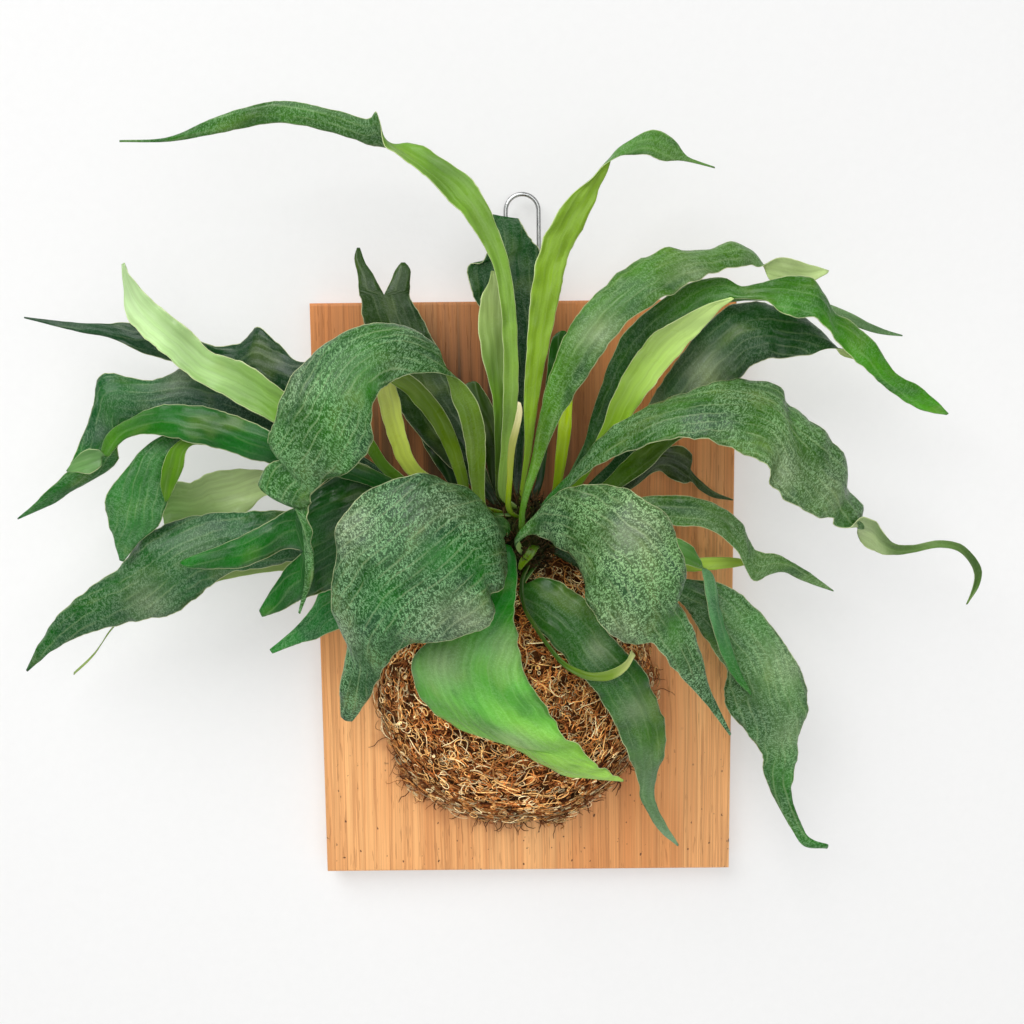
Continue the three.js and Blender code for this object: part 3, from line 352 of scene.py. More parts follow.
            (44, 76, 104, 33, 24, 106), (66, 74, 116, 42, 6, 120), (84, 64, 124, 43, -8, 130),
            (99, 52, 130, 48, -16, 136), (105, 34, 132, 60, -30, 138), (110, 12, 130, 74, -36, 136),
            (106, -6, 128, 88, -36, 134), (113, -20, 126, 98, -48, 130), (122, -44, 122, 108, -60, 126),
            (128, -68, 118, 124, -78, 120), (143, -101, 112, 142, -102, 112),
        ),
    ),
    Frond(
        "frond_low_middle", "leaf_mid", seat=(150, 28, 7), camber=4, wave=1, scurf=0.25,
        upper=((54, 86, 6), (56, 96, 26), (130, 152, 126)),
        under=((120, 150, 80),),
        highlight_and_shade_patches=((0.34, -0.25, 8, 0.24), (0.53, 0, 12, 0.24)),
        rows=(
            (0, 8, 60, -4, 2, 60), (12, 12, 66, 0, -12, 66), (30, 5, 72, 10, -26, 74),
            (48, -12, 76, 24, -42, 80), (62, -34, 80, 38, -58, 84), (80, -52, 78, 50, -72, 84),
            (90, -74, 74, 60, -90, 80), (97, -95, 70, 68, -108, 74), (96, -116, 66, 75, -126, 68),
            (91, -132, 62, 79, -138, 62), (90, -148, 58, 80, -148, 58), (97, -165, 54, 92, -170, 54),
            (107, -182, 50, 106, -183, 50),
        ),
    ),
    Frond(
        "frond_low_middle_curl", "leaf_pale", seat=(160, 46, 3), camber=-2,
        upper=((44, 64, 14), (50, 72, 18), (56, 80, 24), (62, 88, 30), (124, 146, 82), (226, 230, 178)),
        under=((110, 140, 70),),
        rows=(
            (-1, 10, 66, -4, 9, 66), (0, -8, 70, -2, -10, 70), (7, -21, 76, 5, -23, 76),
            (16, -35, 82, 14, -37, 82), (26, -47, 87, 24, -50, 87), (36, -53, 90, 35, -58, 91),
            (47, -56, 91, 47, -62, 92), (59, -54, 91, 60, -61, 91), (69, -48, 88, 70, -54, 88),
            (73, -40, 84, 76, -44, 84),
        ),
    ),
    Frond(
        "frond_low_bright", "leaf_bright", seat=(212, 60, 5), camber=5, wave=1, scurf=0.24, painted_side_shade=0.12,
        upper=((20, 66, 12), (72, 140, 62), (128, 182, 112), (164, 204, 128), (192, 224, 148)),
        under=((150, 196, 96),),
        highlight_and_shade_patches=(
            (0.42, 0.5, 17, 0.36), (0.36, -0.7, 17, 0.3), (0.64, -0.1, 12, 0.3), (0.24, 0.1, 13, -0.4),
            (0.12, 0, 12, -0.5),
        ),
        rows=(
            (-9, 32, 76, -17, 34, 76), (-6, 23, 80, -20, 24, 80), (-6, 6, 87, -25, 7, 87),
            (-8, -14, 96, -40, -12, 94), (-5, -36, 102, -64, -30, 98), (-1, -56, 104, -79, -45, 99),
            (8, -72, 104, -77, -66, 98), (18, -88, 102, -64, -84, 96), (28, -102, 98, -42, -97, 92),
            (40, -114, 92, -24, -96, 88), (48, -121, 86, -6, -112, 84), (56, -127, 80, 20, -127, 80),
            (68, -134, 74, 67, -135, 74),
        ),
    ),
    Frond(
        "frond_front_left", "leaf_mid", seat=(-60, 62, 8), camber=7, wave=2, scurf=1, painted_side_shade=0.08,
        upper=((74, 110, 62), (84, 134, 76), (50, 116, 40)),
        under=((140, 170, 100),),
        highlight_and_shade_patches=(
            (0.53, 0.88, 17, 0.48), (0.48, -0.85, 22, 0.64), (0.73, 0.5, 13, 0.32),
            (0.34, 0.35, 16, 0.24), (0.42, 0, 11, -0.8), (0.36, -0.55, 9, -0.7), (0.6, 0, 12, -0.4),
        ),
        rows=(
            (-13, 43, 76, -15, 54, 76), (-15, 34, 90, -30, 62, 91), (-15, 16, 108, -44, 75, 106),
            (-16, 5, 120, -58, 83, 116), (-23, -1, 128, -76, 84, 124), (-22, -15, 132, -97, 78, 130),
            (-32, -26, 134, -116, 66, 134), (-52, -31, 134, -129, 49, 136),
            (-71, -33, 132, -130, 28, 136), (-86, -38, 130, -134, 6, 134),
            (-97, -48, 126, -132, -16, 130), (-104, -61, 122, -125, -36, 124),
            (-112, -76, 116, -130, -66, 118), (-122, -89, 110, -130, -86, 111),
        ),
    ),
    Frond(
        "frond_left_over_arch", "leaf_mid", seat=(-32, 46, 7), camber=6, wave=1, scurf=0.85,
        upper=((80, 108, 60), (90, 134, 80), (98, 146, 82)),
        under=((102, 130, 48), (102, 132, 60)),
        highlight_and_shade_patches=((0.58, 0.85, 14, 0.2), (0.5, -0.3, 16, -0.5)),
        rows=(
            (-25, 58, 66, -32, 58, 66), (-27, 80, 76, -37, 80, 76), (-26, 104, 86, -40, 103, 86),
            (-28, 122, 94, -43, 120, 95), (-34, 138, 102, -48, 134, 104), (-45, 149, 111, -52, 151, 110),
            (-56, 152, 124, -55, 160, 112), (-70, 153, 132, -59, 171, 116),
            (-82, 150, 138, -74, 182, 120), (-94, 144, 142, -94, 187, 124),
            (-101, 134, 144, -120, 180, 128), (-103, 116, 144, -144, 165, 130),
            (-106, 100, 142, -160, 144, 132), (-118, 88, 138, -170, 120, 130),
            (-134, 80, 132, -174, 107, 126), (-145, 72, 126, -162, 98, 120),
            (-146, 67, 124, -176, 90, 116), (-147, 63, 122, -182, 78, 112),
            (-148, 58, 120, -167, 80, 114), (-148, 51, 118, -157, 72, 113),
            (-146, 36, 112, -152, 46, 110), (-146, 14, 104, -152, 14, 103),
            (-156, -12, 96, -157, -11, 96),
        ),
    ),
    Frond(
        "frond_back_antler", "leaf_deep", seat=(-38, -4, 7), camber=3, scurf=0.15,
        upper=((20, 38, 8), (36, 56, 22), (46, 66, 28)),
        under=((90, 110, 56),),
        rows=(
            (-25, 66, 26, -20, 70, 26), (-56, 94, 28, -32, 106, 28), (-80, 122, 30, -44, 138, 30),
            (-98, 154, 32, -56, 166, 32), (-106, 184, 34, -65, 184, 34), (-109, 205, 34, -76, 205, 34),
        ),
        tines=(
            (
                (-110, 219, 33, -100, 219, 33), (-112, 229, 31, -105, 227, 31),
                (-110, 236, 29, -108, 236, 29),
            ),
            ((-88, 214, 34, -75, 215, 34), (-85, 221, 33, -75, 222, 33), (-81, 226, 32, -78, 226, 32)),
        ),
    ),
    Frond(
        "frond_back_strap_left", "leaf_pale", seat=(-54, 14, 5), camber=2, painted_side_shade=0.15,
        upper=((96, 134, 48), (184, 200, 104)),
        under=((112, 148, 54), (198, 212, 108), (214, 222, 134)),
        rows=(
            (-33, 60, 44, -38, 56, 44), (-58, 79, 52, -65, 74, 52), (-73, 92, 60, -83, 88, 60),
            (-80, 112, 66, -92, 109, 66), (-84, 135, 72, -98, 132, 72), (-88, 150, 76, -100, 146, 76),
            (-96, 164, 78, -106, 160, 78), (-109, 173, 78, -111, 171, 78),
        ),
    ),
    Frond(
        "frond_far_left_dark", "leaf_deep", seat=(-42, 30, 6), camber=2, wave=1, scurf=0.16, painted_side_shade=-0.1,
        upper=((8, 32, 20), (18, 50, 28), (24, 62, 38)),
        under=((100, 128, 40), (46, 68, 34)),
        rows=(
            (-35, 66, 58, -40, 63, 58), (-39, 84, 66, -47, 82, 66), (-44, 104, 74, -54, 101, 74),
            (-52, 124, 82, -64, 120, 82), (-66, 143, 90, -80, 139, 90), (-80, 154, 94, -92, 148, 94),
            (-100, 166, 96, -106, 158, 96), (-120, 168, 94, -122, 166, 86),
            (-148, 146, 88, -150, 161, 82), (-168, 140, 82, -164, 173, 76),
            (-180, 141, 79, -178, 185, 73), (-191, 142, 76, -188, 176, 70),
            (-206, 148, 70, -204, 172, 66), (-222, 158, 64, -222, 178, 60),
            (-238, 163, 58, -245, 190, 54), (-256, 168, 56, -264, 189, 52),
            (-276, 178, 52, -280, 188, 50), (-300, 183, 48, -302, 189, 46),
            (-334, 192, 42, -334, 193, 42),
        ),
    ),
    Frond(
        "frond_left_light", "leaf_pale", seat=(-68, 24, 6), camber=4, wave=1, painted_side_shade=-0.15,
        upper=((100, 140, 60),),
        under=((18, 54, 8), (116, 158, 66), (184, 210, 160)),
        rows=(
            (-40, 52, 56, -40, 46, 56), (-66, 70, 66, -70, 63, 66), (-92, 92, 72, -97, 86, 72),
            (-106, 112, 78, -112, 104, 78), (-132, 124, 84, -138, 108, 84),
            (-158, 138, 90, -164, 118, 90), (-178, 155, 92, -180, 126, 94),
            (-196, 164, 92, -204, 140, 96), (-212, 170, 90, -222, 150, 94),
            (-224, 184, 88, -238, 164, 92), (-240, 196, 86, -254, 178, 88),
            (-252, 208, 84, -265, 192, 85), (-262, 220, 82, -267, 206, 82),
            (-265, 228, 80, -267, 227, 80),
        ),
    ),
    Frond(
        "frond_far_left_blue", "leaf_deep", seat=(-74, 0, 6), camber=4, wave=1, scurf=0.35, painted_side_shade=-0.15,
        upper=((28, 54, 22), (48, 76, 62), (46, 106, 34)),
        under=((112, 144, 90),),
        highlight_and_shade_patches=((0.59, 0.8, 12, 0.24), (0.4, 0, 16, -0.5)),
        rows=(
            (-44, 44, 30, -44, 50, 30), (-90, 72, 34, -90, 84, 34), (-134, 98, 40, -134, 112, 40),
            (-170, 112, 44, -168, 134, 42), (-200, 118, 48, -194, 148, 44),
            (-226, 122, 50, -226, 158, 44), (-250, 124, 52, -250, 150, 46),
            (-270, 120, 54, -284, 154, 48), (-276, 114, 56, -291, 134, 52),
            (-276, 104, 58, -300, 112, 56), (-277, 94, 58, -308, 94, 58), (-292, 84, 56, -316, 84, 58),
            (-310, 74, 54, -328, 74, 56), (-326, 65, 50, -336, 66, 52), (-347, 56, 46, -347, 57, 46),
        ),
    ),
    Frond(
        "frond_left_green_arch", "leaf_bright", seat=(-82, 38, 6), camber=4, wave=1, scurf=0.08,
        upper=((6, 34, 4), (24, 80, 4), (34, 88, 10), (96, 134, 74)),
        under=((96, 132, 80),),
        rows=(
            (-36, 46, 68, -37, 52, 68), (-70, 62, 80, -72, 72, 80), (-110, 78, 92, -112, 92, 92),
            (-150, 88, 98, -150, 106, 98), (-180, 94, 98, -178, 118, 98), (-204, 102, 94, -202, 128, 90),
            (-228, 108, 90, -226, 133, 84), (-250, 113, 84, -248, 132, 78),
            (-266, 112, 78, -268, 124, 74), (-276, 106, 74, -283, 113, 72),
            (-283, 98, 72, -288, 101, 70), (-289, 103, 73, -288, 92, 75), (-299, 103, 72, -297, 87, 76),
            (-306, 97, 70, -304, 88, 73), (-312, 89, 68, -311, 88, 69),
        ),
    ),
    Frond(
        "frond_left_hanging_light", "leaf_pale", seat=(-88, 26, 5), camber=2, painted_side_shade=-0.1,
        upper=((74, 110, 36),),
        under=((70, 110, 30), (86, 126, 42), (76, 116, 28)),
        rows=(
            (-46, 42, 60, -45, 36, 60), (-94, 72, 70, -92, 64, 70), (-142, 96, 76, -140, 86, 76),
            (-186, 112, 80, -186, 102, 80), (-218, 115, 80, -214, 106, 80),
            (-238, 106, 80, -228, 104, 80), (-246, 92, 80, -232, 91, 80), (-248, 78, 79, -239, 76, 79),
            (-246, 67, 78, -244, 67, 78),
        ),
    ),
    Frond(
        "frond_left_hanging_dark", "leaf_mid", seat=(-90, 12, 6), camber=4, wave=1, scurf=0.35,
        upper=((12, 46, 10), (60, 106, 54), (82, 126, 82)),
        under=((120, 150, 88),),
        rows=(
            (-44, 34, 46, -45, 40, 46), (-92, 58, 54, -94, 68, 54), (-140, 80, 62, -142, 94, 60),
            (-186, 98, 66, -186, 114, 64), (-222, 106, 68, -228, 118, 66), (-242, 98, 70, -256, 106, 68),
            (-246, 84, 71, -273, 88, 70), (-244, 66, 71, -286, 70, 70), (-252, 50, 71, -286, 54, 70),
            (-266, 38, 70, -282, 42, 69), (-276, 26, 67, -279, 27, 67),
        ),
    ),
    Frond(
        "frond_left_olive", "leaf_pale", seat=(-98, -2, 6), camber=4, wave=2, painted_side_shade=-0.12,
        upper=((90, 120, 66),),
        under=((84, 120, 60), (204, 218, 164), (128, 158, 100)),
        rows=(
            (-48, 30, 26, -48, 25, 26), (-90, 52, 30, -90, 42, 30), (-130, 73, 36, -130, 60, 36),
            (-158, 82, 40, -158, 70, 40), (-180, 88, 42, -178, 70, 42), (-200, 89, 42, -192, 58, 44),
            (-216, 86, 42, -212, 52, 42), (-228, 80, 40, -232, 48, 40), (-240, 80, 38, -244, 50, 38),
            (-250, 66, 36, -249, 60, 36),
        ),
    ),
    Frond(
        "frond_left_low", "leaf_mid", seat=(-106, 6, 7), camber=6, wave=2, scurf=0.5, painted_side_shade=-0.05,
        upper=((18, 74, 34), (42, 100, 62), (26, 90, 38)),
        under=((120, 156, 96),),
        highlight_and_shade_patches=((0.69, -0.5, 17, 0.24), (0.55, 0.1, 17, 0.12), (0.4, 0, 16, -0.6)),
        rows=(
            (-45, 22, 38, -46, 29, 38), (-90, 26, 50, -92, 42, 50), (-130, 28, 56, -132, 58, 54),
            (-158, 25, 60, -158, 60, 56), (-182, 20, 62, -184, 60, 58), (-203, 17, 64, -212, 59, 58),
            (-224, 3, 65, -240, 54, 59), (-243, -11, 65, -262, 42, 59), (-264, -15, 63, -280, 22, 59),
            (-287, -20, 61, -300, 8, 57), (-308, -26, 57, -322, -10, 55), (-328, -36, 54, -336, -28, 52),
            (-347, -51, 48, -348, -50, 48),
        ),
    ),
    Frond(
        "frond_left_tined", "leaf_mid", seat=(-110, 42, 7), camber=5, scurf=0.16, painted_side_shade=-0.1,
        upper=((4, 38, 4), (10, 74, 12), (38, 110, 24)),
        under=((120, 156, 88),),
        rows=(
            (-36, 30, 66, -38, 38, 66), (-66, 26, 78, -66, 56, 76), (-92, 18, 86, -92, 78, 82),
            (-116, 8, 90, -112, 92, 84), (-136, 4, 92, -134, 80, 86), (-150, 0, 92, -152, 66, 88),
        ),
        tines=(
            ((-160, -5, 90, -165, 20, 89), (-172, -11, 88, -176, 4, 87), (-182, -14, 85, -184, -9, 85)),
            (
                (-166, 33, 88, -166, 58, 87), (-190, 22, 87, -188, 46, 85), (-214, 20, 85, -208, 37, 83),
                (-231, 21, 82, -227, 30, 82), (-237, 24, 80, -236, 26, 80),
            ),
        ),
    ),
    Frond(
        "frond_left_low_lobe", "leaf_mid", seat=(-124, 8, 6), camber=3, scurf=0.5,
        upper=((44, 92, 48), (66, 128, 78), (94, 152, 96)),
        under=((120, 156, 96),),
        rows=(
            (-44, 8, 38, -46, 14, 38), (-80, -8, 45, -84, 8, 45), (-112, -18, 48, -118, 12, 48),
            (-132, -24, 50, -138, 8, 50), (-146, -30, 50, -148, -8, 50), (-160, -34, 50, -160, -22, 50),
            (-176, -40, 48, -178, -37, 48),
        ),
    ),
    Frond(
        "frond_left_thin_tail", "leaf_pale", seat=(-112, -8, 4), camber=1,
        upper=((120, 140, 90),),
        under=((140, 160, 100),),
        rows=(
            (-48, 16, 33, -48, 11, 33), (-110, 20, 32, -110, 12, 32), (-170, 26, 36, -170, 18, 36),
            (-230, 14, 38, -232, 6, 38), (-270, -4, 40, -272, -10, 40), (-286, -20, 40, -288, -23, 40),
            (-300, -38, 40, -301, -41, 40), (-315, -52, 38, -315, -54, 38),
        ),
    ),
    Frond(
        "frond_back_leaf_left", "leaf_deep", seat=(-16, -12, 5), camber=2,
        upper=((24, 44, 8), (38, 52, 12), (54, 74, 32)),
        under=((70, 90, 40),),
        rows=(
            (-21, 66, 21, -16, 66, 21), (-26, 92, 22, -17, 92, 22), (-34, 112, 25, -16, 114, 25),
            (-42, 130, 26, -22, 132, 26), (-42, 142, 26, -30, 145, 26), (-37, 146, 26, -34, 147, 26),
        ),
    ),
    Frond(
        "frond_small_cupped", "leaf_mid", seat=(-58, -8, 5), camber=2,
        upper=((14, 32, 8), (24, 44, 14), (30, 52, 18)),
        under=((70, 100, 40),),
        rows=(
            (-40, 62, 22, -36, 66, 22), (-56, 84, 23, -46, 90, 23), (-66, 100, 24, -50, 106, 24),
            (-71, 112, 25, -56, 118, 25), (-69, 119, 26, -60, 121, 26),
        ),
    ),
    Frond(
        "frond_right_hidden_strap", "leaf_pale", seat=(68, 30, 5), camber=1, scurf=0.1, painted_side_shade=0.5,
        upper=((30, 56, 16), (96, 120, 66)),
        under=((110, 130, 76),),
        rows=(
            (30, 60, 56, 34, 56, 57), (52, 76, 62, 60, 70, 64), (72, 96, 68, 84, 86, 71),
            (92, 108, 74, 102, 104, 78), (112, 118, 77, 120, 112, 80), (134, 123, 79, 136, 119, 80),
        ),
    ),
    Frond(
        "frond_right_thin_tip", "leaf_deep", seat=(36, 9, 4), camber=1, scurf=0.3,
        upper=((96, 126, 92), (108, 134, 100)),
        under=((130, 150, 100),),
        rows=(
            (22, 69, 37, 25, 67, 37), (48, 118, 46, 52, 115, 46), (72, 158, 53, 77, 154, 53),
            (100, 190, 57, 104, 185, 57), (140, 204, 60, 141, 198, 60), (180, 203, 63, 179, 196, 63),
            (212, 193, 65, 210, 186, 65), (232, 183, 63, 230, 178, 63), (244, 178, 61, 243, 175, 61),
            (254, 175, 59, 254, 174, 59),
        ),
    ),
)


def srgb(colour):
    """An sRGB colour, 0 to 255, as linear values from 0 to 1."""
    c = np.asarray(colour, float) / 255
    return np.where(c <= 0.04045, c / 12.92, ((c + 0.055) / 1.055) ** 2.4)


def paint(red, green, blue):
    """An sRGB colour as a material's nodes take it."""
    return tuple(srgb((red, green, blue)))


def lifted(x, z, rise):
    """A point on the board's face, lifted towards SIGHT until it stands off the face by rise."""
    on_face = np.array((x, -BOARD_THICKNESS, z), float)
    return on_face + (SIGHT - on_face) * rise / (-SIGHT[1] - BOARD_THICKNESS)


def unit(v):
    """Vectors of the same direction and of length 1."""
    return v / np.maximum(np.linalg.norm(v, axis=-1, keepdims=True), 1e-9)


def spline(points, at):
    """Points on a smooth curve through the given ones, where at counts points."""
    points = np.asarray(points, float)
    last = len(points) - 1
    padded = np.vstack((2 * points[0] - points[1], points, 2 * points[-1] - points[-2]))
    i = np.minimum(np.floor(at).astype(int), last - 1)
    t = (at - i)[:, None]
    p0, p1, p2, p3 = padded[i], padded[i + 1], padded[i + 2], padded[i + 3]
    return (
        p0 * (-t + 2 * t**2 - t**3)
        + p1 * (2 - 5 * t**2 + 3 * t**3)
        + p2 * (t + 4 * t**2 - 3 * t**3)
        + p3 * (-(t**2) + t**3)
    ) / 2


def ripple(at, seed):
    """Smooth waves of mixed lengths between about -1 and 1; at is in waves."""
    rng = np.random.default_rng(seed)
    count = 5
    total = np.zeros_like(at)
    for _ in range(count):
        total += np.sin(2 * np.pi * at * rng.uniform(0.5, 1.6) + rng.uniform(0, 6.3))
    return total / count * 1.6


def waves(shape, along, seed):
    """Ripples of a height and length, (height, length), along a blade."""
    height, length = shape
    return height * ripple(along / length, seed)


crown_centre = lifted(*CROWN_PLACE, CROWN_RISE)


def seat_margins(seat, first_left, first_right):
    """The stalk's end, as in the CAD source: a point on each margin, just clear of the crown."""
    bearing, pitch, width = math.radians(seat[0]), math.radians(seat[1]), seat[2]
    outward = np.array(
        (
            math.sin(bearing) * math.cos(pitch),
            -math.sin(pitch),
            math.cos(bearing) * math.cos(pitch),
        )
    )
    normal = unit(outward / CROWN_RADII)
    centre = crown_centre + outward * CROWN_RADII
    across = first_right - first_left
    across = unit(across - normal * across.dot(normal))
    ahead = (first_left + first_right) / 2 - centre
    tilt = abs(unit(np.cross(ahead, across)).dot(normal))
    centre = centre + normal * (SEAT_GAP + (0.3 + 0.7 * tilt) * STALK_THICKNESS / 2)
    return centre - across * width / 2, centre + across * width / 2


def fine_stations(left, right):
    """Where a blade is cut across, close enough together for smooth margins."""
    found = [0.0]
    for i in range(1, len(left)):
        length = max(np.linalg.norm(left[i] - left[i - 1]), np.linalg.norm(right[i] - right[i - 1]))
        steps = max(math.ceil(length / ROW_SPACING), 2)
        found.extend(i - 1 + (k + 1) / steps for k in range(steps))
    return np.array(found)


class Sheet:
    """A blade's points and facets, with what its material needs to know at each point."""

    def __init__(self, frond, seed):
        self.frond = frond
        self.seed = seed
        self.points, self.thick, self.edge, self.stalk = [], [], [], []
        self.along, self.across, self.reach = [], [], []
        self.quads = []

    def add_strip(self, left, right, cells, first_row=None, first_along=0.0):
        """Adds a strip of quads between two margins, from the stalk's end or from first_row."""
        left, right = np.array(left), np.array(right)
        at = fine_stations(left, right)
        a, b = spline(left, at), spline(right, at)
        step = np.linalg.norm(np.diff((a + b) / 2, axis=0), axis=1)
        along = first_along + np.concatenate(([0], np.cumsum(step)))
        width = np.linalg.norm(b - a, axis=1)
        lo, hi = np.maximum(at - 0.05, 0), np.minimum(at + 0.05, len(left) - 1)
        ahead = spline(left, hi) + spline(right, hi) - spline(left, lo) - spline(right, lo)
        normal = unit(np.cross(ahead, a - b))
        branch = first_row is not None
        stalk = np.zeros_like(at) if branch else np.clip(1 - at / STALK_ROWS, 0, 1)

        # Scallops in the margins, fading out at the stalk, the tip and a branch's first row.
        fade = np.clip(width / 30, 0, 1) * (1 - stalk)
        if branch:
            fade = fade * np.clip(at * 2, 0, 1)
        outward = unit(a - b)
        for number, (margin, out) in enumerate(((a, outward), (b, -outward))):
            scallop = waves(LARGE_SCALLOP, along, self.seed * 7 + number)
            scallop = scallop + waves(SMALL_SCALLOP, along, self.seed * 7 + 2 + number)
            margin += out * (scallop * fade)[:, None]

        # The blade's bulge and waves, its ruffled margins and its creases, off its own plane.
        v = np.linspace(0, 1, cells + 1)
        grid = a[:, None] * (1 - v[None, :, None]) + b[:, None] * v[None, :, None]
        side = 2 * v - 1
        bulge = self.frond.camber * 4 * v * (1 - v)
        phase = np.where(v > 0.5, 1.7, 0.0)
        wave = self.frond.wave * side**2 * np.sin(2.4 * at[:, None] + phase)
        lift = np.minimum(width / CAMBER_WIDTH, 1.5)[:, None] * (bulge[None, :] + wave)
        ruffle = waves(RUFFLE, along, self.seed * 11)[:, None] * np.clip(-side, 0, 1) ** 2.2
        ruffle = ruffle + waves(RUFFLE, along, self.seed * 11 + 1)[:, None] * np.clip(side, 0, 1) ** 2.2
        crease = waves(CREASE, along, self.seed * 11 + 2)[:, None] * np.cos(side * 4.2)[None, :]
        lift = lift + fade[:, None] * (ruffle + crease)
        grid = grid + normal[:, None] * lift[..., None]

        # A blade thins out at its margins, and the stalk is thicker and round.
        from_margin = width[:, None] * np.minimum(v, 1 - v)[None, :]
        rounded = np.sqrt(np.clip(1 - side**2, 0.02, 1))
        blade = 0.35 + 0.65 * (1 - np.abs(side) ** 8)
        thick = BLADE_THICKNESS * blade[None, :] * (1 - stalk[:, None])
        thick = thick + 1.25 * STALK_THICKNESS * rounded[None, :] * stalk[:, None]

        row = first_row
        for i in range(1 if branch else 0, len(at)):
            start = len(self.points)
            self.points.extend(grid[i])
            self.thick.extend(thick[i])
            self.edge.extend(from_margin[i])
            self.along.extend([along[i]] * (cells + 1))
            self.across.extend(side * width[i] / 2)
            self.reach.extend([width[i] / 2] * (cells + 1))
            self.stalk.extend([stalk[i]] * (cells + 1))
            following = list(range(start, start + cells + 1))
            if row is not None:
                for j in range(cells):
                    self.quads.append((row[j], row[j + 1], following[j + 1], following[j]))
            row = following
        return row, along[-1]


def frond_sheet(frond, seed):
    """A frond's blade, and the branches that share its last row."""
    sheet = Sheet(frond, seed)
    lefts = [lifted(*row[:3]) for row in frond.rows]
    rights = [lifted(*row[3:]) for row in frond.rows]
    seat_left, seat_right = seat_margins(frond.seat, lefts[0], rights[0])
    end, along = sheet.add_strip([seat_left, *lefts], [seat_right, *rights], CELLS_ACROSS)
    half = CELLS_ACROSS // 2
    for k, tine in enumerate(frond.tines):
        row = end[k * half : (k + 1) * half + 1]
        left = [sheet.points[row[0]], *(lifted(*r[:3]) for r in tine)]
        right = [sheet.points[row[-1]], *(lifted(*r[3:]) for r in tine)]
        sheet.add_strip(left, right, half, row, along)
    return sheet


def solid_from(sheet):
    """The sheet as a closed solid: upper side first, then underside, then the rim."""
    points = np.array(sheet.points)
    quads = np.array(sheet.quads)
    a, b, c, d = (points[quads[:, k]] for k in range(4))
    area = np.cross(c - a, d - b)
    normals = np.zeros_like(points)
    for k in range(4):
        np.add.at(normals, quads[:, k], area)
    normals = unit(normals)
    half = np.array(sheet.thick)[:, None] / 2
    count = len(points)
    vertices = np.vstack((points + normals * half, points - normals * half))
    edges = dict.fromkeys((quad[k], quad[(k + 1) % 4]) for quad in sheet.quads for k in range(4))
    rim = [(f, t) for f, t in edges if (t, f) not in edges]
    faces = [tuple(q) for q in sheet.quads]
    faces += [(q[3] + count, q[2] + count, q[1] + count, q[0] + count) for q in sheet.quads]
    faces += [(t, f, f + count, t + count) for f, t in rim]
    return vertices, faces


def linked(name, data):
    """A new object in the scene."""
    piece = bpy.data.objects.new(name, data)
    bpy.context.scene.collection.objects.link(piece)
    return piece


def mesh_object(name, vertices, faces, material):
    """A smooth mesh from points in millimetres."""
    mesh = bpy.data.meshes.new(name)
    mesh.from_pydata([tuple(p) for p in np.asarray(vertices) * MM], [], faces)
    mesh.materials.append(material)
    mesh.polygons.foreach_set("use_smooth", [True] * len(mesh.polygons))
    mesh.update()
    return linked(name, mesh)


def point_values(mesh, name, values):
    attribute = mesh.attributes.new(name, "FLOAT", "POINT")
    attribute.data.foreach_set("value", np.asarray(values, np.float32))


def point_colours(mesh, name, colours):
    attribute = mesh.color_attributes.new(name, "FLOAT_COLOR", "POINT")
    rgba = np.concatenate((colours, np.ones((len(colours), 1))), axis=1)
    attribute.data.foreach_set("color", rgba.astype(np.float32).ravel())


def vivid(colour, strength):
    """The same colours, further from grey."""
    grey = colour.dot((0.21, 0.72, 0.07))[..., None]
    return np.maximum(grey + (colour - grey) * strength, 0.002)


def along_blade(tones, far):
    """Colours between the given ones, which are spread evenly from stalk to tip."""
    tones = srgb(tones)
    at = np.linspace(0, 1, len(tones))
    return np.stack([np.interp(far, at, tones[:, k]) for k in range(3)], axis=1)


def highlight_and_shade_patches(sheet):
    """How pale the painted highlights, or below 0 how dark the rubbed and shaded patches, make each
    point.
    """
    along, across, reach = np.array(sheet.along), np.array(sheet.across), np.array(sheet.reach)
    total = np.zeros_like(along)
    for far, side, radius, strength in sheet.frond.highlight_and_shade_patches:
        apart = (along - far * along.max()) ** 2 + (across - side * reach) ** 2
        total += strength * np.exp(-apart / (0.9 * radius**2))
    return np.clip(total, -0.8, 0.8)


def leaf_colours(sheet, painted_patch):
    """The ground colour at each point, of the upper side and then of the underside.

    Ripples shift the colours along the blade and make them a little lighter or darker.
    """
    frond = sheet.frond
    along, across = np.array(sheet.along), np.array(sheet.across)
    far = np.clip(along / along.max(), 0, 1)
    far = far + 0.06 * ripple(across / 40 + along / 90, sheet.seed + 20)
    tone = 1 + 0.16 * ripple(along / 60 + across / 90, sheet.seed + 40)
    # Painted shade across the blade: one half lighter than the other, as light falls on it.
    tone = (tone * (1 - frond.painted_side_shade * np.tanh(across / 9)))[:, None]
    upper = vivid(along_blade(frond.upper, far), 1.38 + 0.42 * frond.scurf) * tone
    # Painted highlights pale the upper side; the darker patches, rubbed bare and partly painted shade,
    # deepen it.
    upper = upper * (1 + 0.5 * np.minimum(painted_patch, 0))[:, None]
    upper = upper + (srgb(HIGHLIGHT_COLOUR) - upper) * np.maximum(painted_patch, 0)[:, None]
    under = vivid(along_blade(frond.under, far), 1.12) * tone * 1.12
    return np.vstack((upper, under))


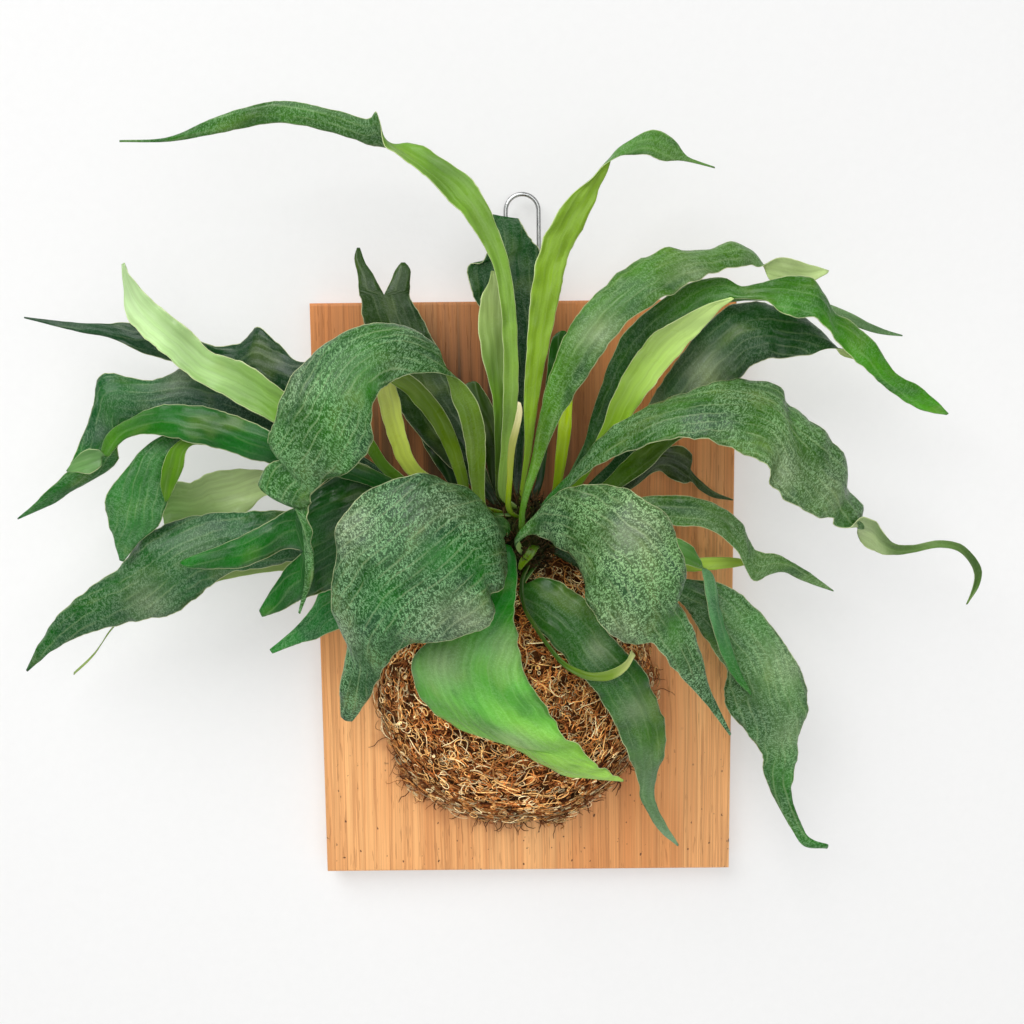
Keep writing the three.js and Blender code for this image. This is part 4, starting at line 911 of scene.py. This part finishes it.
def build_frond(frond, seed, material):
    """A frond's blade with its colours, its scurf and, for the pale rim, how far its margin is."""
    sheet = frond_sheet(frond, seed)
    painted_patch = highlight_and_shade_patches(sheet)
    piece = mesh_object(frond.name.replace("frond", "leaf"), *solid_from(sheet), material)
    mesh = piece.data
    point_colours(mesh, "tint", leaf_colours(sheet, painted_patch))
    narrow = np.clip(1.2 - np.array(sheet.reach) / 9, 0, 1)  # where the rim is fainter
    point_values(mesh, "edge_mm", np.tile(np.array(sheet.edge) + 0.5 * narrow, 2))
    scurf = frond.scurf * (1 - np.array(sheet.stalk) * 0.6)
    # Scurf is thinner in the darker, rubbed patches, and a little thinner under the painted highlights.
    scurf = scurf * (1 + np.minimum(painted_patch, 0) - 0.25 * np.maximum(painted_patch, 0))
    point_values(mesh, "scurf", np.concatenate((scurf, 0.15 * scurf)))

    # The blade's own place for its material: across and along it in units of 100 mm, with every
    # frond in a stretch of its own.
    uv = mesh.uv_layers.new(name="blade")
    corner_points = np.zeros(len(mesh.loops), np.int32)
    mesh.loops.foreach_get("vertex_index", corner_points)
    place = np.stack((np.tile(sheet.across, 2), np.tile(sheet.along, 2)), axis=1)
    place[:, 0] += 150 * seed
    uv.data.foreach_set("uv", (place[corner_points] / 100).astype(np.float32).ravel())
    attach(piece, "root")
    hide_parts(frond.name)


class Nodes:
    """A short way to write a material's nodes. A value may be a number or another node's output."""

    def __init__(self, name):
        self.material = bpy.data.materials.new(name)
        self.material.use_nodes = True
        self.tree = self.material.node_tree
        self.shader = self.tree.nodes["Principled BSDF"]
        self.output = self.tree.nodes["Material Output"]

    def add(self, kind, **settings):
        node = self.tree.nodes.new(kind)
        for key, value in settings.items():
            setattr(node, key, value)
        return node

    def feed(self, socket, value):
        if isinstance(value, bpy.types.NodeSocket):
            self.tree.links.new(value, socket)
        else:
            socket.default_value = value

    def math(self, operation, a, b=0.0, clamp=False):
        node = self.add("ShaderNodeMath", operation=operation, use_clamp=clamp)
        self.feed(node.inputs[0], a)
        self.feed(node.inputs[1], b)
        return node.outputs[0]

    def plus(self, a, b):
        return self.math("ADD", a, b)

    def times(self, a, b):
        return self.math("MULTIPLY", a, b)

    def off_half(self, value):
        """How far a value is from a half."""
        return self.math("ABSOLUTE", self.math("SUBTRACT", value, 0.5))

    def mix(self, factor, a, b, blend="MIX"):
        node = self.add("ShaderNodeMix", data_type="RGBA", blend_type=blend)
        self.feed(node.inputs[0], factor)
        self.feed(node.inputs[6], a if isinstance(a, bpy.types.NodeSocket) else (*a, 1))
        self.feed(node.inputs[7], b if isinstance(b, bpy.types.NodeSocket) else (*b, 1))
        return node.outputs[2]

    def grey(self, value):
        node = self.add("ShaderNodeCombineColor")
        for socket in node.inputs:
            self.feed(socket, value)
        return node.outputs[0]

    def ramp(self, value, low, high, out_low=0.0, out_high=1.0):
        """A smooth step from out_low, where the value is low, to out_high, where it is high."""
        node = self.add("ShaderNodeMapRange", interpolation_type="SMOOTHSTEP")
        for socket, v in zip(node.inputs, (value, low, high, out_low, out_high)):
            self.feed(socket, v)
        return node.outputs[0]

    def object_place(self):
        return self.add("ShaderNodeTexCoord").outputs["Object"]

    def axes(self, place):
        node = self.add("ShaderNodeSeparateXYZ")
        self.feed(node.inputs[0], place)
        return node.outputs[:3]

    def placed(self, place, scale, shift=(0, 0, 0)):
        node = self.add("ShaderNodeMapping")
        self.feed(node.inputs["Vector"], place)
        node.inputs["Scale"].default_value = scale
        node.inputs["Location"].default_value = shift
        return node.outputs[0]

    def noise(self, place, scale, shift=(0, 0, 0), detail=2.0, distortion=0.0, roughness=0.5):
        """Noise between 0 and 1, with its own scale along each axis."""
        node = self.add("ShaderNodeTexNoise")
        self.feed(node.inputs["Vector"], self.placed(place, scale, shift))
        node.inputs["Scale"].default_value = 1.0
        node.inputs["Detail"].default_value = detail
        node.inputs["Distortion"].default_value = distortion
        node.inputs["Roughness"].default_value = roughness
        return node.outputs[0]

    def out_from(self, place, middle, radii):
        """How far out from a middle on the board's face, where 1 is on the ellipse of the radii."""
        across, up = (1 / (radius * MM) for radius in radii)
        shift = (-middle[0] * MM * across, 0, -middle[1] * MM * up)
        node = self.add("ShaderNodeVectorMath", operation="LENGTH")
        self.feed(node.inputs[0], self.placed(place, (across, 0, up), shift))
        return node.outputs["Value"]

    def attribute(self, name, output="Fac"):
        return self.add("ShaderNodeAttribute", attribute_name=name).outputs[output]

    def bump(self, height, strength, distance):
        node = self.add("ShaderNodeBump")
        node.inputs["Strength"].default_value = strength
        node.inputs["Distance"].default_value = distance
        self.feed(node.inputs["Height"], height)
        return node.outputs[0]

    def surface(self, colour, normal, roughness, specular):
        self.feed(self.shader.inputs["Base Color"], colour)
        self.feed(self.shader.inputs["Normal"], normal)
        self.feed(self.shader.inputs["Roughness"], roughness)
        self.shader.inputs["Specular IOR Level"].default_value = specular


def leaf_material():
    n = Nodes("frond_leaf")
    uv = n.add("ShaderNodeUVMap", uv_map="blade").outputs[0]
    across, along, _ = n.axes(uv)
    tint = n.attribute("tint", "Color")
    scurf = n.attribute("scurf")
    edge = n.attribute("edge_mm")

    # The ground is deeper where scurf will lie over it, with soft drifts of hue: paler yellow-green in
    # places and, as a painted reflection of blue sky, darker blue-green in others.
    ground = n.grey(n.math("SUBTRACT", 1.0, n.times(scurf, 0.76)))
    colour = n.mix(1.0, tint, ground, "MULTIPLY")
    blotch = n.noise(uv, (4.5, 2.6, 1), distortion=0.4)
    colour = n.mix(n.ramp(blotch, 0.54, 0.74, 0.0, 0.2), colour, paint(150, 172, 84))
    painted_cool_reflection = n.times(n.ramp(blotch, 0.47, 0.30), n.ramp(scurf, 0.0, 0.4, 0.15, 0.55))
    colour = n.mix(painted_cool_reflection, colour, paint(16, 62, 40))

    # Fine veins along the blade, and a few stronger ribs that come and go, with painted shade in the
    # grooves between.
    veins = n.noise(uv, (46, 1.4, 1), detail=2.5, distortion=0.25)
    sway = n.times(n.noise(uv, (5, 1.6, 1), (5, 2, 0)), 1.6)
    from_rib = n.off_half(n.math("FRACT", n.plus(n.times(across, 18.0), sway)))
    shown = n.ramp(n.noise(uv, (12, 4, 1)), 0.40, 0.56)
    rib = n.times(n.ramp(from_rib, 0.13, 0.05), shown)
    painted_groove_shade = n.times(n.times(n.ramp(from_rib, 0.2, 0.5), shown), scurf)
    colour = n.mix(0.55, colour, n.grey(n.ramp(veins, 0.34, 0.66, 0.84, 1.14)), "MULTIPLY")
    colour = n.mix(n.times(rib, n.ramp(scurf, 0.0, 1.0, 0.07, 0.24)), colour, paint(184, 206, 150))
    colour = n.mix(n.times(painted_groove_shade, 0.36), colour, paint(20, 56, 26))

    # Pale scurf: broken wavy rows, curled flakes and dots, thick in some areas and thin in others.
    swirl = n.times(n.noise(uv, (20, 18, 1), detail=1.0, distortion=0.6), 3.4)
    slope = n.plus(n.plus(n.times(along, 54.0), swirl), n.times(across, 22.0))
    row = n.ramp(n.off_half(n.math("FRACT", slope)), 0.25, 0.13)
    worms = n.noise(uv, (84, 66, 1), detail=1.0, distortion=1.3)
    worm = n.ramp(n.off_half(worms), 0.050, 0.024)
    dot = n.ramp(n.noise(uv, (120, 104, 1), (3, 7, 0), detail=0.0), 0.64, 0.70)
    breaks = n.ramp(n.noise(uv, (52, 46, 1), (9, 1, 0), distortion=0.5), 0.44, 0.52)
    line = n.math("MAXIMUM", n.times(row, 0.7), worm)
    flakes = n.math("MAXIMUM", n.times(line, breaks), dot)
    area = n.noise(uv, (6.4, 4.2, 1), (11, 3, 0), detail=4.0, distortion=0.5, roughness=0.6)
    thick = n.times(n.ramp(area, 0.38, 0.56, 0.35, 1.0), scurf)
    dust = n.times(flakes, thick)
    flake_tone = n.mix(0.46, n.mix(1.0, tint, (1.7, 1.7, 1.7), "MULTIPLY"), paint(206, 230, 198))
    colour = n.mix(n.times(thick, 0.05), colour, paint(150, 184, 146))
    colour = n.mix(n.times(dust, 0.8), colour, flake_tone)

    # The thin pale margin.
    colour = n.mix(n.ramp(edge, 0.6, 0.25, 0.0, 0.65), colour, paint(226, 236, 178))

    height = n.plus(n.times(veins, 0.6), n.times(dust, 0.55))
    height = n.plus(height, n.ramp(from_rib, 0.5, 0.0, 0.0, 0.5))
    normal = n.bump(height, 0.7, 0.0006)
    n.surface(colour, normal, n.ramp(area, 0.35, 0.65, 0.25, 0.40), 0.3)

    # A little light comes through the blade, yellower than the leaf.
    through = n.add("ShaderNodeBsdfTranslucent")
    n.feed(through.inputs["Color"], n.mix(0.55, colour, paint(130, 180, 30)))
    n.feed(through.inputs["Normal"], normal)
    both = n.add("ShaderNodeMixShader")
    both.inputs[0].default_value = 0.12
    n.feed(both.inputs[1], n.shader.outputs[0])
    n.feed(both.inputs[2], through.outputs[0])
    n.feed(n.output.inputs["Surface"], both.outputs[0])
    return n.material


def wood_material():
    n = Nodes("cedar_board")
    place = n.object_place()
    _, depth, height = n.axes(place)

    # Broad warm and pale areas, and redder towards the top as painted shade of the fronds above.
    broad = n.noise(place, (11, 11, 3.5), (1.5, 0, 0.4), detail=3.0)
    colour = n.mix(n.ramp(broad, 0.34, 0.68), paint(216, 146, 86), paint(240, 180, 118))
    colour = n.mix(n.ramp(height, -0.03, 0.12, 0.0, 0.5), colour, paint(192, 110, 58))

    # Painted shade behind the crown, where the stalks shade the board, on the front face alone.
    front = n.ramp(depth, -0.008, -0.017)
    painted_crown_shade = n.ramp(n.out_from(place, CROWN_SHADE_MIDDLE, CROWN_SHADE_RADII), 1.45, 0.4, 0.0, 0.92)
    colour = n.mix(n.times(front, painted_crown_shade), colour, paint(50, 36, 14))

    # A ragged darker ring on the board round the foot of the root ball.
    ragged = n.times(n.noise(place, (60, 60, 34), (2, 0, 5), detail=3.0), 0.5)
    from_ball = n.plus(n.out_from(place, ROOT_BALL, ROOT_BALL_RADII), ragged)
    colour = n.mix(n.times(front, n.ramp(from_ball, 1.46, 1.22, 0.0, 0.5)), colour, paint(146, 80, 40))

    # Upright grain that wanders a little: soft bands, growth lines and fine streaks.
    wander = n.noise(place, (16, 16, 3.4), detail=3.0)
    shift = n.add("ShaderNodeCombineXYZ")
    n.feed(shift.inputs[0], n.times(n.math("SUBTRACT", wander, 0.5), 0.010))
    moved = n.add("ShaderNodeVectorMath", operation="ADD")
    n.feed(moved.inputs[0], place)
    n.feed(moved.inputs[1], shift.outputs[0])
    grain = moved.outputs[0]
    bands = n.noise(grain, (120, 60, 1.3), detail=4.0, distortion=0.1, roughness=0.6)
    colour = n.mix(n.ramp(bands, 0.40, 0.66, 0.0, 0.42), colour, paint(198, 122, 66))
    ring = n.ramp(n.off_half(bands), 0.020, 0.004)
    colour = n.mix(n.times(ring, 0.3), colour, paint(152, 88, 46))
    fine = n.noise(grain, (900, 500, 9), detail=3.0)
    colour = n.mix(0.9, colour, n.grey(n.ramp(fine, 0.30, 0.70, 0.87, 1.13)), "MULTIPLY")

    # Short dark pores along the grain, and specks of dirt near the lower edge.
    pores = n.noise(grain, (760, 760, 60), detail=1.0)
    crowded = n.ramp(n.noise(place, (26, 26, 12), (4, 0, 1)), 0.40, 0.62, 0.65, 0.73)
    pore = n.math("MULTIPLY", n.math("SUBTRACT", pores, crowded), 22.0, clamp=True)
    colour = n.mix(n.times(pore, 0.26), colour, paint(112, 62, 32))
    specks = n.noise(place, (300, 300, 230), (0.4, 0, 0.9), detail=1.0)
    low = n.ramp(height, -0.09, -0.16, 0.1, 1.1)
    speck = n.times(n.ramp(specks, 0.73, 0.77), low)
    colour = n.mix(n.times(speck, 0.8), colour, paint(74, 42, 24))

    relief = n.plus(n.times(fine, -0.5), n.times(pore, -0.8))
    relief = n.plus(relief, n.times(ring, -0.5))
    n.surface(colour, n.bump(relief, 0.6, 0.0005), n.ramp(fine, 0.3, 0.7, 0.46, 0.62), 0.35)
    return n.material


def fibre_material():
    n = Nodes("root_fibres")
    mottle = n.noise(n.object_place(), (900, 900, 900))
    colour = n.mix(n.ramp(mottle, 0.4, 0.7, 0.0, 0.4), n.attribute("tint", "Color"), paint(96, 54, 24))
    n.surface(colour, n.bump(mottle, 0.4, 0.0002), 0.75, 0.25)
    return n.material


def peat_material():
    n = Nodes("root_ball_ground")
    place = n.object_place()
    clumps = n.noise(place, (120, 120, 120), detail=4.0, distortion=0.5)
    grit = n.noise(place, (700, 700, 700), detail=3.0, distortion=1.5)
    colour = n.mix(n.ramp(clumps, 0.35, 0.65), paint(40, 20, 8), paint(96, 54, 24))
    strand = n.ramp(n.off_half(grit), 0.05, 0.01, 0.0, 0.5)
    colour = n.mix(strand, colour, paint(150, 108, 66))
    n.surface(colour, n.bump(n.plus(grit, clumps), 1.0, 0.002), 0.95, 0.1)
    return n.material


def crown_shade_material():
    n = Nodes("crown_heart_shade")
    # Dark green, painted shade round the stalk bases at the crown.
    clumps = n.noise(n.object_place(), (150, 150, 90), detail=4.0, distortion=0.5)
    colour = n.mix(n.ramp(clumps, 0.35, 0.65), paint(18, 26, 8), paint(58, 64, 26))
    n.surface(colour, n.bump(clumps, 1.0, 0.002), 0.9, 0.1)
    return n.material


def wire_material():
    n = Nodes("galvanised_wire")
    grey = n.noise(n.object_place(), (400, 400, 90), detail=3.0)
    colour = n.mix(grey, paint(150, 152, 154), paint(206, 206, 204))
    n.surface(colour, n.bump(grey, 0.2, 0.0001), n.ramp(grey, 0.3, 0.7, 0.22, 0.4), 0.5)
    n.shader.inputs["Metallic"].default_value = 1.0
    return n.material


def stage_material():
    """Matt white paint that glows a little, with painted shade that dims it high up, and clear from
    behind.
    """
    n = Nodes("wall_paint")
    place = n.object_place()
    stipple = n.noise(place, (160, 160, 160), detail=3.0)
    painted_shade_above = n.grey(n.ramp(n.axes(place)[2], 0.0, 0.42, 1.0, 0.92))
    paint_tone = n.mix(stipple, (0.52, 0.52, 0.518), (0.54, 0.54, 0.538))
    colour = n.mix(1.0, paint_tone, painted_shade_above, "MULTIPLY")
    n.surface(colour, n.bump(stipple, 0.12, 0.002), 0.9, 0.1)
    n.shader.inputs["Emission Color"].default_value = (1, 1, 0.995, 1)
    n.shader.inputs["Emission Strength"].default_value = WALL_GLOW
    clear = n.add("ShaderNodeBsdfTransparent")
    sides = n.add("ShaderNodeMixShader")
    n.feed(sides.inputs[0], n.add("ShaderNodeNewGeometry").outputs["Backfacing"])
    n.feed(sides.inputs[1], n.shader.outputs[0])
    n.feed(sides.inputs[2], clear.outputs[0])
    n.feed(n.output.inputs["Surface"], sides.outputs[0])
    return n.material


def dress(node, material):
    """Gives a CAD node a material in place of its own."""
    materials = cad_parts[node].data.materials
    materials.clear()
    materials.append(material)


def build_wire(material):
    """The hanging loop, as a smooth round wire with its legs in the board's top edge."""
    radius = WIRE_WIDTH / 2
    top = BOARD_HEIGHT / 2 + WIRE_RISE - WIRE_DIAMETER / 2 - radius
    foot = BOARD_HEIGHT / 2 - WIRE_LEG
    angles = np.linspace(math.pi, 0, 25)
    line = [(-radius, foot), (-radius, (foot + top) / 2)]
    line += [(radius * math.cos(a), top + radius * math.sin(a)) for a in angles]
    line += [(radius, (foot + top) / 2), (radius, foot)]
    curve = bpy.data.curves.new("hanging_wire", "CURVE")
    curve.dimensions = "3D"
    curve.bevel_depth = WIRE_DIAMETER / 2 * MM
    curve.bevel_resolution = 5
    curve.use_fill_caps = True
    course = curve.splines.new("POLY")
    course.points.add(len(line) - 1)
    for point, (x, z) in zip(course.points, line):
        point.co = (x * MM, -WIRE_SET_BACK * MM, z * MM, 1)
    curve.materials.append(material)
    piece = linked("hanging_wire", curve)
    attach(piece, "root")
    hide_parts("hanger_loop")


def dome_point(reach, angle):
    """A point on the root ball's mound: reach is 0 at its middle and 1 at its rim.

    Near the rim the mound swells into a few tufts.
    """
    tufts = np.maximum(np.sin(5 * angle + 1) + 0.8 * np.sin(11 * angle + 2), 0)
    out = reach * (1 + 0.05 * tufts * np.clip(reach * 4 - 3, 0, 1))
    x = ROOT_BALL[0] + ROOT_BALL_RADII[0] * out * np.sin(angle)
    z = ROOT_BALL[1] + ROOT_BALL_RADII[1] * out * np.cos(angle)
    rise = 4 + (ROOT_BALL_RISE - 5) * np.sqrt(np.clip(1 - reach**3, 0, 1))
    return np.stack((x, -BOARD_THICKNESS - rise, z), axis=-1)


def tubes(name, lines, radii, colours, material):
    """Many thin three-sided tubes in one mesh. lines is (count, points, 3) in millimetres."""
    count, points = lines.shape[:2]
    ahead = unit(np.gradient(lines, axis=1))
    helper = np.where(np.abs(ahead[..., 2:3]) < 0.8, (0.0, 0.0, 1.0), (1.0, 0.0, 0.0))
    side = unit(np.cross(ahead, helper))
    up = np.cross(side, ahead)
    taper = np.sin(np.linspace(0.25, math.pi - 0.25, points)) ** 0.5
    size = radii[:, None, None] * taper[None, :, None]
    corners = []
    for k in range(3):
        turn = 2 * math.pi * k / 3
        corners.append(lines + size * (math.cos(turn) * side + math.sin(turn) * up))
    vertices = np.stack(corners, axis=2).reshape(-1, 3)
    faces = []
    for i in range(count):
        base = i * points * 3
        for j in range(points - 1):
            a = base + j * 3
            for k in range(3):
                m = (k + 1) % 3
                faces.append((a + k, a + m, a + 3 + m, a + 3 + k))
        end = base + (points - 1) * 3
        faces.append((base + 2, base + 1, base))
        faces.append((end, end + 1, end + 2))
    piece = mesh_object(name, vertices, faces, material)
    point_colours(piece.data, "tint", np.repeat(colours, points * 3, axis=0))
    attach(piece, "root")


def curls(rng, count, points, length, curl, depth):
    """Curling threads that lie on the mound, lifted off its surface by depth's range."""
    reach = np.sqrt(rng.uniform(0, 1, count))
    angle = rng.uniform(0, 2 * math.pi, count)
    start = dome_point(reach, angle)
    near = dome_point(reach - 0.02, angle)
    outward = unit(start - np.array((ROOT_BALL[0], ROOT_BALL_HEART, ROOT_BALL[1])))
    heading = rng.uniform(0, 2 * math.pi, count)
    along = unit(near - start)
    across = unit(np.cross(outward, along))
    along = np.cross(across, outward)
    turn = rng.normal(0, curl, (count, 1))
    turn = turn + np.cumsum(rng.normal(0, curl * 0.35, (count, points)), axis=1) / 3
    direction = heading[:, None] + np.cumsum(turn, axis=1)
    step = length[:, None] / points
    flat_x = np.cumsum(np.cos(direction) * step, axis=1)
    flat_y = np.cumsum(np.sin(direction) * step, axis=1)
    hump = np.sin(np.linspace(0, math.pi, points))[None, :] * rng.uniform(-0.6, 1.6, (count, 1))
    lift = rng.uniform(*depth, (count, 1)) + hump * 1.5
    line = start[:, None] + flat_x[..., None] * along[:, None] + flat_y[..., None] * across[:, None]
    sag = (flat_x**2 + flat_y**2) / (2 * ROOT_BALL_CURVE)
    return line + outward[:, None] * (lift - sag)[..., None]


def build_root_threads(material):
    """Three layers of curling threads over the mound, the deep ones thicker and darker."""
    rng = np.random.default_rng(7)
    lowest = -BOARD_THICKNESS - 0.6
    tones = srgb(FIBRE_COLOURS)
    # Name, how many, points in each, length, curl, lift, radius and tones. A pair is a range.
    layers = (
        ("root_fibres_deep", 2700, 11, (10, 24), 0.38, (-1.5, 1.5), (0.36, 0.6), (0, 3)),
        ("root_fibres_middle", 2750, 12, (8, 24), 0.5, (0.0, 4.0), (0.28, 0.52), (1, 5)),
        ("root_fibres_top", 2500, 13, (7, 24), 0.58, (2.0, 7.5), (0.24, 0.46), (1, 5)),
    )
    for name, count, points, lengths, curl, depth, radii, picks in layers:
        length = rng.uniform(*lengths, count)
        lines = curls(rng, count, points, length, curl, depth)
        lines[..., 1] = np.minimum(lines[..., 1], lowest)
        colours = tones[rng.integers(*picks, count)] * rng.uniform(0.6, 2.35, (count, 1))
        out = np.linalg.norm((lines[:, 0, 0::2] - ROOT_BALL) / ROOT_BALL_RADII, axis=1)
        # Painted shade: threads near the mound's rim are darker, where the ball shades its own foot.
        colours *= 1 - 0.45 * np.clip(out[:, None] * 5 - 4, 0, 1)
        tubes(name, lines, rng.uniform(*radii, count), colours, material)


def build_crown_hairs(material):
    """Papery brown and green hairs that stand out all over the crown, bent towards its top; their dark
    tones are partly painted shade among the stalk bases.
    """
    rng = np.random.default_rng(33)
    count, points = 900, 7
    outward = rng.normal(0, 1, (count, 3))
    outward[:, 1] = -np.abs(outward[:, 1])
    outward = unit(outward)
    start = crown_centre + outward * CROWN_RADII * 0.98
    sweep = unit(np.array((0.0, -0.5, 0.6)) + rng.normal(0, 0.5, (count, 3)))
    length = rng.uniform(5, 13, count)
    along = np.linspace(0, 1, points)
    lines = start[:, None] + outward[:, None] * (length[:, None] * along)[..., None] * 0.6
    lines = lines + sweep[:, None] * (length[:, None] * along**2)[..., None] * 0.6
    wander = np.cumsum(rng.normal(0, 0.35, (count, points, 3)), axis=1)
    lines = lines + wander * along[None, :, None]
    tones = srgb(CROWN_HAIR_SHADE_COLOURS)
    colours = tones[rng.integers(0, len(tones), count)] * rng.uniform(0.5, 1.2, (count, 1))
    tubes("crown_hairs", lines, rng.uniform(0.25, 0.6, count), colours, material)


def build_stray_roots(material):
    """Loose roots that lie on the board round the foot of the mound."""
    rng = np.random.default_rng(21)
    count, points = 460, 12
    angle = rng.normal(math.pi, 0.8, count)
    start = dome_point(np.ones(count), angle)
    start[:, 1] = -BOARD_THICKNESS - 0.8
    outward = np.arctan2(start[:, 2] - ROOT_BALL[1], start[:, 0] - ROOT_BALL[0])
    heading = outward + rng.normal(0, 1.2, count)
    turn = rng.normal(0, 0.18, (count, 1)) + rng.normal(0, 0.34, (count, points))
    direction = heading[:, None] + np.cumsum(turn, axis=1)
    step = rng.uniform(1.8, 4.7, (count, 1)) ** 2 / points
    hump = np.abs(np.sin(np.linspace(0, 3.1, points)))[None, :]
    lines = np.repeat(start[:, None], points, axis=1)
    lines[..., 0] += np.cumsum(np.cos(direction) * step, axis=1)
    lines[..., 2] += np.cumsum(np.sin(direction) * step, axis=1)
    lines[..., 1] -= hump * rng.uniform(0, 2.5, (count, 1))
    darkest = srgb(FIBRE_COLOURS[:2])
    colours = darkest[rng.integers(0, len(darkest), count)] * rng.uniform(0.4, 1.0, (count, 1))
    tubes("stray_roots", lines, rng.uniform(0.18, 0.42, count), colours, material)


def build_stage():
    """A pale wall behind the board, open from behind, and a pale floor well below it."""
    material = stage_material()
    reach, low, top = STAGE_REACH, FLOOR_LEVEL, WALL_TOP
    wall = [(x, WALL_GAP, z) for x, z in ((-reach, low), (reach, low), (reach, top), (-reach, top))]
    floor = [(x * reach, y * reach, low) for x, y in ((-1, -1), (1, -1), (1, 1), (-1, 1))]
    for name, corners in (("wall", wall), ("floor", floor)):
        mesh = bpy.data.meshes.new(name)
        mesh.from_pydata(corners, [], [(0, 1, 2, 3)])
        mesh.materials.append(material)
        piece = linked(name, mesh)
        piece.visible_shadow = False


def area_light(name, place, size, power):
    """A round soft light that faces LIGHT_AIM."""
    lamp = bpy.data.lights.new(name, "AREA")
    lamp.shape = "DISK"
    lamp.size = size
    lamp.energy = power
    z = unit(np.array(place) - np.array(LIGHT_AIM))
    x = unit(np.cross((0, 0, 1), z))
    axes = np.stack((x, np.cross(z, x), z), axis=1)
    linked(name, lamp).matrix_world = Matrix.Translation(place) @ Matrix(axes.tolist()).to_4x4()


def build_lights():
    area_light("key", (-1.0, -1.8, 1.8), 2.0, 58)
    area_light("front_fill", (0.5, -2.5, 0.5), 2.2, 25)
    area_light("back_fill", (-0.6, 2.2, 0.9), 2.0, 16)
    world = bpy.data.worlds.new("studio")
    world.use_nodes = True
    background = world.node_tree.nodes["Background"]
    background.inputs["Color"].default_value = (1, 1, 1, 1)
    background.inputs["Strength"].default_value = WORLD_STRENGTH
    bpy.context.scene.world = world
    bpy.context.scene.view_settings.view_transform = "Standard"


def build_camera():
    """In front of the board and a little above its middle, looking slightly down."""
    lens = bpy.data.cameras.new("camera")
    lens.sensor_width = 36
    lens.lens = FOCAL_LENGTH
    lens.clip_start = 0.01
    yaw, pitch, roll = (math.radians(turn) for turn in (CAMERA_YAW, CAMERA_PITCH, CAMERA_ROLL))
    look = np.array(
        (math.sin(yaw) * math.cos(pitch), math.cos(yaw) * math.cos(pitch), -math.sin(pitch))
    )
    right = unit(np.cross(look, (0, 0, 1)))
    up = np.cross(right, look)
    turned_right = math.cos(roll) * right + math.sin(roll) * up
    turned_up = -math.sin(roll) * right + math.cos(roll) * up
    axes = np.stack((turned_right, turned_up, -look), axis=1)
    camera = linked("camera", lens)
    camera.matrix_world = Matrix.Translation(CAMERA_PLACE) @ Matrix(axes.tolist()).to_4x4()
    bpy.context.scene.camera = camera


build_camera()
build_lights()
build_stage()
leaf = leaf_material()
for number, frond in enumerate(FRONDS):
    build_frond(frond, number + 1, leaf)
dress("board", wood_material())
build_wire(wire_material())
dress("root_ball", peat_material())
dress("crown", crown_shade_material())
fibres = fibre_material()
build_root_threads(fibres)
build_crown_hairs(fibres)
build_stray_roots(fibres)
